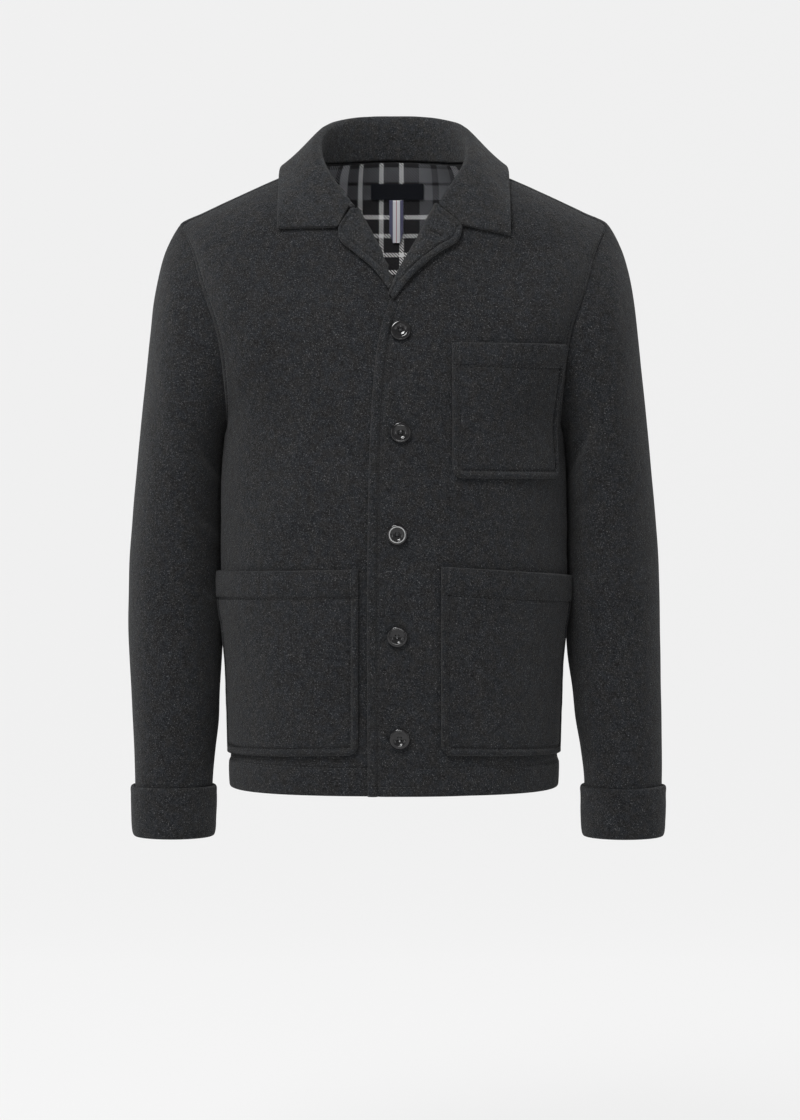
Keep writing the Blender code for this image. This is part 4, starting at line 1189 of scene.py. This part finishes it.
def makeLapel(side):
    shares, across = np.linspace(0, 1, lapelCut["rows"]), np.linspace(0, 1, lapelCut["columns"])
    base = []
    for share in shares:
        rollZ, freeX, freeZ = rowOf(lapelCut[side], share)
        rollX = edgeX(bodyCut["edges"][side], rollZ)
        base.append([frontPoint(fronts[side], rollX + (freeX - rollX) * t, rollZ + (freeZ - rollZ) * t)
                     for t in across])
    base = np.array(base)
    half = (lapelCut["thick"] / 2 * (1 - lapelCut["thins"] * fadeIn(shares, 0.6, 0.4)))[:, None]
    facing = normalsOf(base)
    facing = np.where((facing[..., 1] > 0)[..., None], -facing, facing)
    bulge = lapelCut["rise"] * 4 * across * (1 - across)
    middle = base + facing * (lapelCut["clear"] + half + bulge)[..., None]
    inward = unit(base[:, 0] - base[:, 1])
    centre = base[:, 0] - facing[:, 0] * wall / 2
    radius = wall / 2 + lapelCut["clear"] + half
    turns = np.radians(np.linspace(*lapelCut["turns"], 13))
    roll = [centre + radius * (inward * math.cos(turn) + facing[:, 0] * math.sin(turn)) for turn in turns]
    middle = np.concatenate([np.stack(roll, axis=1), middle], axis=1)
    out = normalsOf(middle)
    out = out * (1 if (out[20, 40, 1] < 0) else -1)
    fromFold, down = lengthsAlong(middle, axis=1), lengthsAlong(middle)
    fromFree, fromBottom = fromFold[:, -1:] - fromFold, down[-1:] - down
    apart = roundedDistance(fromFree, down, 6.0)
    pucker, size = lapelCut["pucker"]
    relief = rim(apart, *lapelCut["rim"]) * fadeIn(fromBottom, 8, 24) + pucker * ripple(middle, size, 71 + side)
    if side > 0:
        one, two, depth, reach = lapelCut["slit"]
        one, run = np.array(one), np.array(two) - np.array(one)
        over = middle[..., (0, 2)] - one
        t = np.clip(over @ run / (run @ run), 0, 1)
        relief -= depth * hump(np.linalg.norm(over - t[..., None] * run, axis=-1), 0, reach)
    thick = half * rounded(apart, 2.2) * rounded(fromBottom, 3.0)
    outer = placed(middle + out * (thick + relief)[..., None], side)
    inner = placed(middle - out * thick[..., None], side)
    name = sided("lapel", side)
    # the lapel wears the lighter wool, with painted light from above
    item = shell(f"wool_{name}", outer, inner, fromFree, -down, (upperLitWool,))
    dress(item, name)


for side in (1, -1):
    makeLapel(side)
print("lapels made")


# Patch pockets, cut square with rounded lower corners

pocketCut = {
    # name, side, x of the inner edge, width at top and bottom, top z, bottom z, drops at the outer edge, band,
    # and the cut's width, length and area
    "rows": (
        ("chest_pocket", 1, 60.0, 129.0, 141.0, -196.0, -336.0, 0.0, 2.0, 24.0, (0.145, 0.145, 0.0200)),
        ("hip_pocket_left", 1, 48.5, 196.0, 196.0, -427.0, -622.0, 14.0, 8.0, 29.0, (0.20, 0.20, 0.0385)),
        ("hip_pocket_right", -1, 36.5, 208.0, 208.0, -430.0, -622.0, 6.0, 8.0, 29.0, (0.212, 0.197, 0.0405)),
    ),
    "corner": 11.0, "clear": 0.8, "thick": 3.2, "rim": (7.5, 1.5, 1.7), "step": 3.0,
    # the band at the top: rise at its edges, further rise in its middle, dip below it and the dip's reach
    "bandRise": (1.2, 0.5, 1.5, 1.4),
    # puckers near the edge and slow waves: height, size; the top's middle stands out: depth, reach down
    "pucker": (0.22, 13.0), "wave": (0.3, 40.0), "gape": (0.8, 30.0),
    "sideSteps": (0.0, 0.3, 0.9, 1.8, 3.0, 4.6, 5.9, 6.8, 7.5, 8.2, 9.2, 11.0, 13.5),
    "lowSteps": (0.0, 0.15, 0.5, 1.1, 2.0, 3.2, 4.6, 5.9, 6.8, 7.5, 8.2, 9.2, 11.0, 13.5),
    "topSteps": (0.0, 0.3, 0.9, 1.8, 3.2, 5.5, 9.0, 13.0, 17.0),
    "aroundBand": (-3.5, -1.6, -0.7, 0.0, 0.7, 1.6, 3.5),
}


# A patch on a panel: rows at given levels, each with a start, a width and a drop towards its far end
def patchSurface(panel, facing, xFrom, widths, levels, drops, corners, base):
    both = np.concatenate([panel, facing], axis=2)
    rows = []
    for width, level, drop, corner in zip(widths, levels, drops, corners):
        share = np.zeros(panel.shape[1])
        for _ in range(2):
            line = levelLine(both, level - drop * share)
            lengths = lengthsAlong(line[:, :3])
            peak = int(np.argmax(line[:, 0])) + 1
            start = np.interp(xFrom, line[:peak, 0], lengths[:peak])
            share = np.clip((lengths - start) / width, 0, 1)
        at = start + corner + (width - 2 * corner) * base
        rows.append([[np.interp(a, lengths, line[:, i]) for i in range(6)] for a in at])
    rows = np.array(rows)
    return rows[..., :3], unit(rows[..., 3:])


def makePocket(name, side, xFrom, topWidth, bottomWidth, top, bottom, topDrop, bottomDrop, band, size):
    panel, facing = frontPanels[side]
    height, width, corner = top - bottom, max(topWidth, bottomWidth), pocketCut["corner"]
    bandSteps = (*pocketCut["topSteps"], *(band + step for step in pocketCut["aroundBand"]))
    down = spread(height, pocketCut["step"], bandSteps, pocketCut["lowSteps"])
    base = spread(width, pocketCut["step"], pocketCut["sideSteps"], pocketCut["sideSteps"]) / width
    up = height - down
    short = np.where(up < corner, corner - np.sqrt(np.clip(corner**2 - (corner - up) ** 2, 0, None)), 0)
    share = down / height
    widths = topWidth + (bottomWidth - topWidth) * share
    drops = topDrop + (bottomDrop - topDrop) * share
    points, away = patchSurface(panel, facing, xFrom, widths, top - down, drops, short, base)
    across = short[:, None] + (widths - 2 * short)[:, None] * base[None, :]
    down, up = (np.broadcast_to(v[:, None], across.shape) for v in (down, up))
    apart = roundedDistance(np.minimum(across, widths[:, None] - across), up, corner)
    edges, middle, dip, reach = pocketCut["bandRise"]
    relief = rim(apart, *pocketCut["rim"]) * fadeIn(down, band - 4, 4)
    relief += (edges + middle * np.sin(math.pi * np.clip(down / band, 0, 1))) * fadeIn(down, band + 1.5, -3)
    relief -= dip * hump(down, band, reach)
    for kind, near, seed in (("pucker", hump(apart, 5, 6), 83), ("wave", 1, 89)):
        relief += pocketCut[kind][0] * ripple(points, pocketCut[kind][1], seed) * near
    gape, reach = pocketCut["gape"]
    relief += gape * np.sin(math.pi * np.clip(across / width, 0, 1)) * hump(down, 0, reach)
    fromEdge = np.minimum(apart, down)
    half = pocketCut["thick"] / 2
    middle = points + away * (pocketCut["clear"] + half)
    thick = half * rounded(fromEdge, 1.8)
    outer = placed(middle + away * (thick + relief * ease(fromEdge / 1.2))[..., None], side)
    inner = placed(middle - away * thick[..., None], side)
    item = shell(f"wool_{name}", outer, inner, across, -down, (wool,))
    dress(item, name)
    both = np.concatenate([outer, placed(away, side)], axis=2)
    pocketStitches(both, across, down[:, 0], widths, height, band)


# Stitches across the band and round the sides and the bottom
def pocketStitches(both, across, down, widths, height, band):
    corner, stitch = pocketCut["corner"], pocketCut["rim"][0]
    inset = corner - stitch
    left = [(stitch, d) for d in np.arange(1.5, height - corner, 6.0)]
    left += [(corner - inset * math.cos(t), height - corner + inset * math.sin(t))
             for t in np.linspace(0, math.pi / 2, 7)[1:-1]]
    flat = [(share, height - stitch) for share in np.linspace(corner, widths[-1] - corner, 30)]
    right = [(widths[-1] - s, d) for s, d in left[::-1]]
    for path in (left + flat + right, [(s, band) for s in np.linspace(2.0, widths[5] - 2.0, 34)]):
        found = []
        for s, d in path:
            row = np.interp(d, down, np.arange(len(down)))
            low, t = int(row), row - int(row)
            one, two = (np.array([np.interp(s, across[r], values) for values in both[r].T])
                        for r in (low, min(low + 1, len(down) - 1)))
            found.append(one * (1 - t) + two * t)
        found = np.array(found)
        stitchLine(found[:, :3], found[:, 3:])


for row in pocketCut["rows"]:
    makePocket(*row)
print("pockets made")


# Stitches: each line is drawn as a curve, and a small twisted dash of thread is set on it at every stitch

stitchLook = {"length": 3.1, "pitch": 4.3, "thick": 0.85, "lift": 0.12}


def sewingGroup():
    tree, given, out = newGroup(
        "sewing",
        (("Geometry", "NodeSocketGeometry", None), ("Pitch", "NodeSocketFloat", 0.0043),
         ("Length", "NodeSocketFloat", 0.003), ("Thickness", "NodeSocketFloat", 0.0008),
         ("Thread", "NodeSocketMaterial", None)),
        (("Geometry", "NodeSocketGeometry"),), "GeometryNodeTree",
    )
    curve = nodeIn(tree, "GeometryNodeMeshToCurve")
    places = nodeIn(tree, "GeometryNodeCurveToPoints", mode="LENGTH")
    turn = nodeIn(tree, "FunctionNodeAlignRotationToVector", axis="X")
    dash = nodeIn(tree, "GeometryNodeMeshUVSphere")
    setInputs(dash, {"Segments": 6, "Rings": 4, "Radius": 0.5})
    size = nodeIn(tree, "ShaderNodeCombineXYZ")
    copies = nodeIn(tree, "GeometryNodeInstanceOnPoints")
    real = nodeIn(tree, "GeometryNodeRealizeInstances")
    paint = nodeIn(tree, "GeometryNodeSetMaterial")
    for source, output, target, socket in (
        (given, "Geometry", curve, "Mesh"), (curve, "Curve", places, "Curve"),
        (given, "Pitch", places, "Length"), (places, "Tangent", turn, "Vector"), (given, "Length", size, "X"),
        (given, "Thickness", size, "Y"), (given, "Thickness", size, "Z"), (places, "Points", copies, "Points"),
        (dash, "Mesh", copies, "Instance"), (turn, "Rotation", copies, "Rotation"),
        (size, "Vector", copies, "Scale"),
        (copies, "Instances", real, "Geometry"), (real, "Geometry", paint, "Geometry"),
        (given, "Thread", paint, "Material"), (paint, "Geometry", out, "Geometry"),
    ):
        tree.links.new(source.outputs[output], target.inputs[socket])
    return tree


def makeStitches():
    points, edges = [], []
    for line, facing in threads:
        line = line + unit(facing) * stitchLook["lift"]
        edges += [(len(points) + k, len(points) + k + 1) for k in range(len(line) - 1)]
        points += line.tolist()
    mesh = bpy.data.meshes.new("stitchLines")
    mesh.from_pydata((np.array(points) * mm).tolist(), edges, [])
    lines = linked("stitchLines", mesh)
    modifier = lines.modifiers.new("sewing", "NODES")
    modifier.node_group = sewingGroup()
    given = {"Pitch": stitchLook["pitch"] * mm, "Length": stitchLook["length"] * mm,
             "Thickness": stitchLook["thick"] * mm, "Thread": thread}
    for item in modifier.node_group.interface.items_tree:
        if item.in_out == "INPUT" and item.name in given:
            modifier[item.identifier] = given[item.name]
    graph = bpy.context.evaluated_depsgraph_get()
    made = bpy.data.meshes.new_from_object(lines.evaluated_get(graph))
    bpy.data.objects.remove(lines)
    made.shade_smooth()
    item = linked("stitches", made)
    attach(item, "root")
    print(f"stitches: {len(made.polygons)} faces in {len(threads)} lines")


makeStitches()
print("stitches made")


# Buttons: a turned disc with a rim, a dished middle, four holes and crossed thread

buttonLook = {
    "x": (7.0, 7.0, 3.5, 3.5, 6.0), "topZ": -183.5, "pitch": 105.3, "clear": 0.9,
    # the section from the middle of the top round to the middle of the underside: radius, height
    "section": (
        (0.0, 1.7), (2.0, 1.82), (3.8, 2.1), (5.3, 2.45), (6.0, 3.0), (6.4, 3.45), (6.9, 3.66), (7.7, 3.69),
        (8.6, 3.69), (9.4, 3.66), (10.0, 3.42), (10.45, 2.9), (10.7, 2.1), (10.5, 1.3), (9.8, 0.6), (8.4, 0.15),
        (0.0, 0.0),
    ),
    "holeRadius": 0.95, "holeOut": 2.05, "steps": 72,
    # the bars of thread: steps along, steps round, half width, half height, top z, how far the ends dip, and
    # how much higher the upper one lies
    "thread": (9, 8, 0.62, 0.42, 2.75, 1.5, 0.25),
}


def makeButtonMaterial():
    material, tree, shader = plainMaterial("buttonResin", (0.006, 0.006, 0.007), 0.16, specular=0.4)
    setInputs(shader, {"Coat Weight": 0.25, "Coat Roughness": 0.03})
    where = objectPlace(tree)
    swirl = remapped(tree, noise(tree, where, 140.0, 3.0, 0.6), 0.35, 0.7)
    scuff = remapped(tree, noise(tree, where, 900.0, 2.0, 0.6), 0.3, 0.8, 0.05, 0.14)
    colour = mixed(tree, swirl, (0.002, 0.002, 0.0025), (0.012, 0.0115, 0.012))
    tree.links.new(colour, shader.inputs["Base Color"])
    tree.links.new(scuff, shader.inputs["Roughness"])
    return material


def finished(work, name):
    bmesh.ops.recalc_face_normals(work, faces=work.faces)
    mesh = bpy.data.meshes.new(name)
    work.to_mesh(mesh)
    work.free()
    return mesh


def turnedDisc(section, steps):
    work = bmesh.new()
    rings = []
    for radius, z in section:
        turns = np.linspace(0, 2 * math.pi, steps + 1)[:-1] if radius else (0,)
        rings.append([work.verts.new((radius * math.cos(a), radius * math.sin(a), z)) for a in turns])
    for upper, lower in zip(rings, rings[1:]):
        for k in range(steps):
            one, two = k % len(upper), (k + 1) % len(upper)
            three, four = (k + 1) % len(lower), k % len(lower)
            work.faces.new(list(dict.fromkeys((upper[one], upper[two], lower[three], lower[four]))))
    return finished(work, "disc")


def makeButtonShape():
    disc = linked("disc", turnedDisc(buttonLook["section"], buttonLook["steps"]))
    drills = []
    out, radius = buttonLook["holeOut"], buttonLook["holeRadius"]
    for turn in np.radians((45, 135, 225, 315)):
        where = (out * math.cos(turn), out * math.sin(turn), 1)
        bpy.ops.mesh.primitive_cylinder_add(vertices=20, radius=radius, depth=12, location=where)
        drills.append(bpy.context.object)
        cut = disc.modifiers.new("hole", "BOOLEAN")
        cut.operation = "DIFFERENCE"
        cut.object = drills[-1]
    graph = bpy.context.evaluated_depsgraph_get()
    mesh = bpy.data.meshes.new_from_object(disc.evaluated_get(graph))
    for item in (disc, *drills):
        bpy.data.objects.remove(item)
    return mesh


# Two crossed bars of thread in the holes, as small tubes
def crossedThread():
    work = bmesh.new()
    steps, around, width, height, top, dip, over = buttonLook["thread"]
    turns = np.linspace(0, 2 * math.pi, around + 1)[:-1]
    for turn, lift in ((45, over), (135, 0)):
        along = Vector((math.cos(math.radians(turn)), math.sin(math.radians(turn)), 0))
        aside = Vector((-along.y, along.x, 0))
        rings = []
        for t in np.linspace(-1, 1, steps):
            middle = along * (buttonLook["holeOut"] * t) + Vector((0, 0, top - dip * abs(t) ** 6 + lift))
            ring = [middle + aside * (width * math.cos(a)) + Vector((0, 0, height * math.sin(a))) for a in turns]
            rings.append([work.verts.new(point) for point in ring])
        for one, two in zip(rings, rings[1:]):
            for k in range(around):
                after = (k + 1) % around
                work.faces.new((one[k], one[after], two[after], two[k]))
        work.faces.new(rings[0])
        work.faces.new(rings[-1])
    return finished(work, "cross")


def panelPoint(panel, facing, x, z):
    found = frontPoint(np.concatenate([panel, facing], axis=2), x, z)
    return found[:3], unit(found[3:])


def makeButtons():
    disc, cross = makeButtonShape(), crossedThread()
    kinds = ((disc, makeButtonMaterial(), "resin_button", "button"), (cross, thread, "button_thread", "wool"))
    for i, x in enumerate(buttonLook["x"]):
        place, direction = panelPoint(*frontPanels[1], x, buttonLook["topZ"] - buttonLook["pitch"] * i)
        turn = Vector(direction).to_track_quat("Z", "Y").to_matrix().to_4x4()
        move = Matrix.Translation(Vector(place + direction * buttonLook["clear"]) * mm)
        for shape, material, name, slot in kinds:
            mesh = shape.copy()
            mesh.transform(move @ turn @ Matrix.Scale(mm, 4))
            mesh.materials.clear()
            mesh.materials.append(material)
            mesh.shade_smooth()
            mesh.set_sharp_from_angle(angle=math.radians(50))
            item = linked(f"{name}_{i + 1}", mesh)
            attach(item, "root")
            if shape is disc:
                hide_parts(f"button_{i + 1}")
    bpy.data.meshes.remove(disc)
    bpy.data.meshes.remove(cross)


makeButtons()
print("buttons made")


# The bare label and the ribbon loop inside the back neck

trimLook = {
    # middle x, top z, width, height, thickness, how much the bottom narrows; the cut's width, length and area
    "label": ((3.5, -18.0, 58.0, 17.0, 0.9, 0.0), (0.058, 0.017, 0.00098)),
    "hanger_loop": ((2.5, -35.6, 15.5, 46.0, 1.4, 3.4), (0.0155, 0.046, 0.00071)),
    "clear": 0.4, "step": 1.5, "edgeSteps": (0.0, 0.2, 0.5, 1.0),
    # columns of the back left out on either side, and where the narrowing starts as a share of the height
    "columnsOff": 40, "narrowFrom": 0.72,
}


def makeLabelMaterial():
    material, tree, shader = plainMaterial("labelSatin", (0.004, 0.005, 0.008), 0.7, specular=0.12)
    where, split = cutPlace(tree)
    rib = maths(tree, "SINE", times(tree, split[1], 2 * math.pi * 1600))
    grain = noise(tree, where, 1500.0, 2.0)
    colour = mixed(tree, grain, (0.003, 0.0035, 0.006), (0.010, 0.012, 0.018))
    tree.links.new(colour, shader.inputs["Base Color"])
    bumped(tree, shader, plus(tree, times(tree, rib, 0.5), grain), 0.00025)
    return material


# Stripes across the ribbon from its middle: half width and colour
ribbonStripes = ((7.75, (0.055, 0.055, 0.13)), (3.9, (0.74, 0.75, 0.78)), (0.35, (0.35, 0.05, 0.07)))


def makeRibbonMaterial():
    material, tree, shader = plainMaterial("loopRibbon", (0.7, 0.7, 0.72), 0.55, 0.2)
    _, split = cutPlace(tree)
    away = maths(tree, "ABSOLUTE", times(tree, split[0], 1000.0))
    colour = ribbonStripes[0][1]
    for half, tone in ribbonStripes[1:]:
        colour = mixed(tree, remapped(tree, away, half - 0.25, half + 0.25, 1.0, 0.0), colour, tone)
    tree.links.new(colour, shader.inputs["Base Color"])
    bumped(tree, shader, maths(tree, "SINE", times(tree, split[1], 2 * math.pi * 900)), 0.00025)
    return material


def makeTrim(name, material):
    (x, top, width, height, thick, narrows), size = trimLook[name]
    edge, step, off = trimLook["edgeSteps"], trimLook["step"], trimLook["columnsOff"]
    base, down = spread(width, step, edge, edge) / width, spread(height, step, edge, edge)
    plain = np.zeros(len(down))
    start = trimLook["narrowFrom"]
    short = narrows * fadeIn(down, start * height, (1 - start) * height)
    points, away = patchSurface(backInside[:, off:-off], -backFacing[:, off:-off], x - width / 2, plain + width,
                                top - down, plain, short, base)
    across = short[:, None] + (width - 2 * short)[:, None] * base[None, :] - width / 2
    along = np.broadcast_to(-down[:, None], across.shape)
    fromEdge = np.minimum(np.minimum(base, 1 - base)[None, :] * width, np.minimum(down, height - down)[:, None])
    middle = points + away * (trimLook["clear"] + thick / 2)
    puff = away * (rounded(fromEdge, 0.6) * thick / 2)[..., None]
    item = shell(f"neck_{name}", middle + puff, middle - puff, across, along, (material,))
    dress(item, name)


makeTrim("label", makeLabelMaterial())
makeTrim("hanger_loop", makeRibbonMaterial())
print("neck trim made")


# Pale floor that curves up into a backdrop, and soft studio light

studio = {
    "floorZ": -1.15, "floorTone": 0.10, "glow": 0.745, "wallY": 3.2, "bend": 1.2, "width": 14.0, "world": 0.34,
    "nearY": -9.0, "topZ": 5.0,
    # name, place, size, energy, z of the point on the jacket's middle that it is aimed at
    "lights": (
        ("keyTop", (-1.1, -2.5, 2.9), 1.5, 158.0, -0.25),
        ("fillLeft", (-3.0, -2.6, 0.3), 1.6, 19.0, -0.35),
        ("fillRight", (3.0, -2.6, 0.3), 1.6, 15.0, -0.35),
        ("lensBox", (0.03, -4.3, -0.325), 0.5, 7.5, -0.35),
        ("backLeft", (-2.4, 1.7, 1.5), 1.4, 26.0, -0.35),
        ("backRight", (2.4, 1.7, 1.5), 1.4, 26.0, -0.35),
    ),
}


def makeStudio():
    floorZ, wallY, bend = studio["floorZ"], studio["wallY"], studio["bend"]
    profile = [(studio["nearY"], floorZ)]
    profile += [(wallY - bend + bend * math.sin(a), floorZ + bend * (1 - math.cos(a)))
                for a in np.linspace(0, math.pi / 2, 17)]
    profile.append((wallY, studio["topZ"]))
    points = [(x, y, z) for y, z in profile for x in (-studio["width"] / 2, studio["width"] / 2)]
    mesh = bpy.data.meshes.new("backdrop")
    mesh.from_pydata(points, [], [(2 * k, 2 * k + 1, 2 * k + 3, 2 * k + 2) for k in range(len(profile) - 1)])
    mesh.shade_smooth()
    paper, tree, shader = plainMaterial("paper", (studio["floorTone"],) * 3, 0.9)
    setInputs(shader, {"Emission Color": (1, 1, 1, 1), "Emission Strength": studio["glow"]})
    # the paper is clear from behind, so that the jacket shows from every side
    behind = nodeIn(tree, "ShaderNodeNewGeometry").outputs["Backfacing"]
    tree.links.new(maths(tree, "SUBTRACT", 1.0, behind), shader.inputs["Alpha"])
    mesh.materials.append(paper)
    linked("backdrop", mesh)
    world = bpy.data.worlds.new("studio")
    world.use_nodes = True
    setInputs(world.node_tree.nodes["Background"], {"Color": (1, 1, 1, 1), "Strength": studio["world"]})
    bpy.context.scene.world = world
    for name, place, size, energy, aimZ in studio["lights"]:
        data = bpy.data.lights.new(name, "AREA")
        data.size = size
        data.energy = energy
        light = linked(name, data)
        light.location = place
        light.rotation_euler = (Vector((0, 0, aimZ)) - Vector(place)).to_track_quat("-Z", "Y").to_euler()
        light.visible_camera = False


makeCamera()
makeStudio()
bpy.context.scene.view_settings.view_transform = "Standard"
print("studio made")
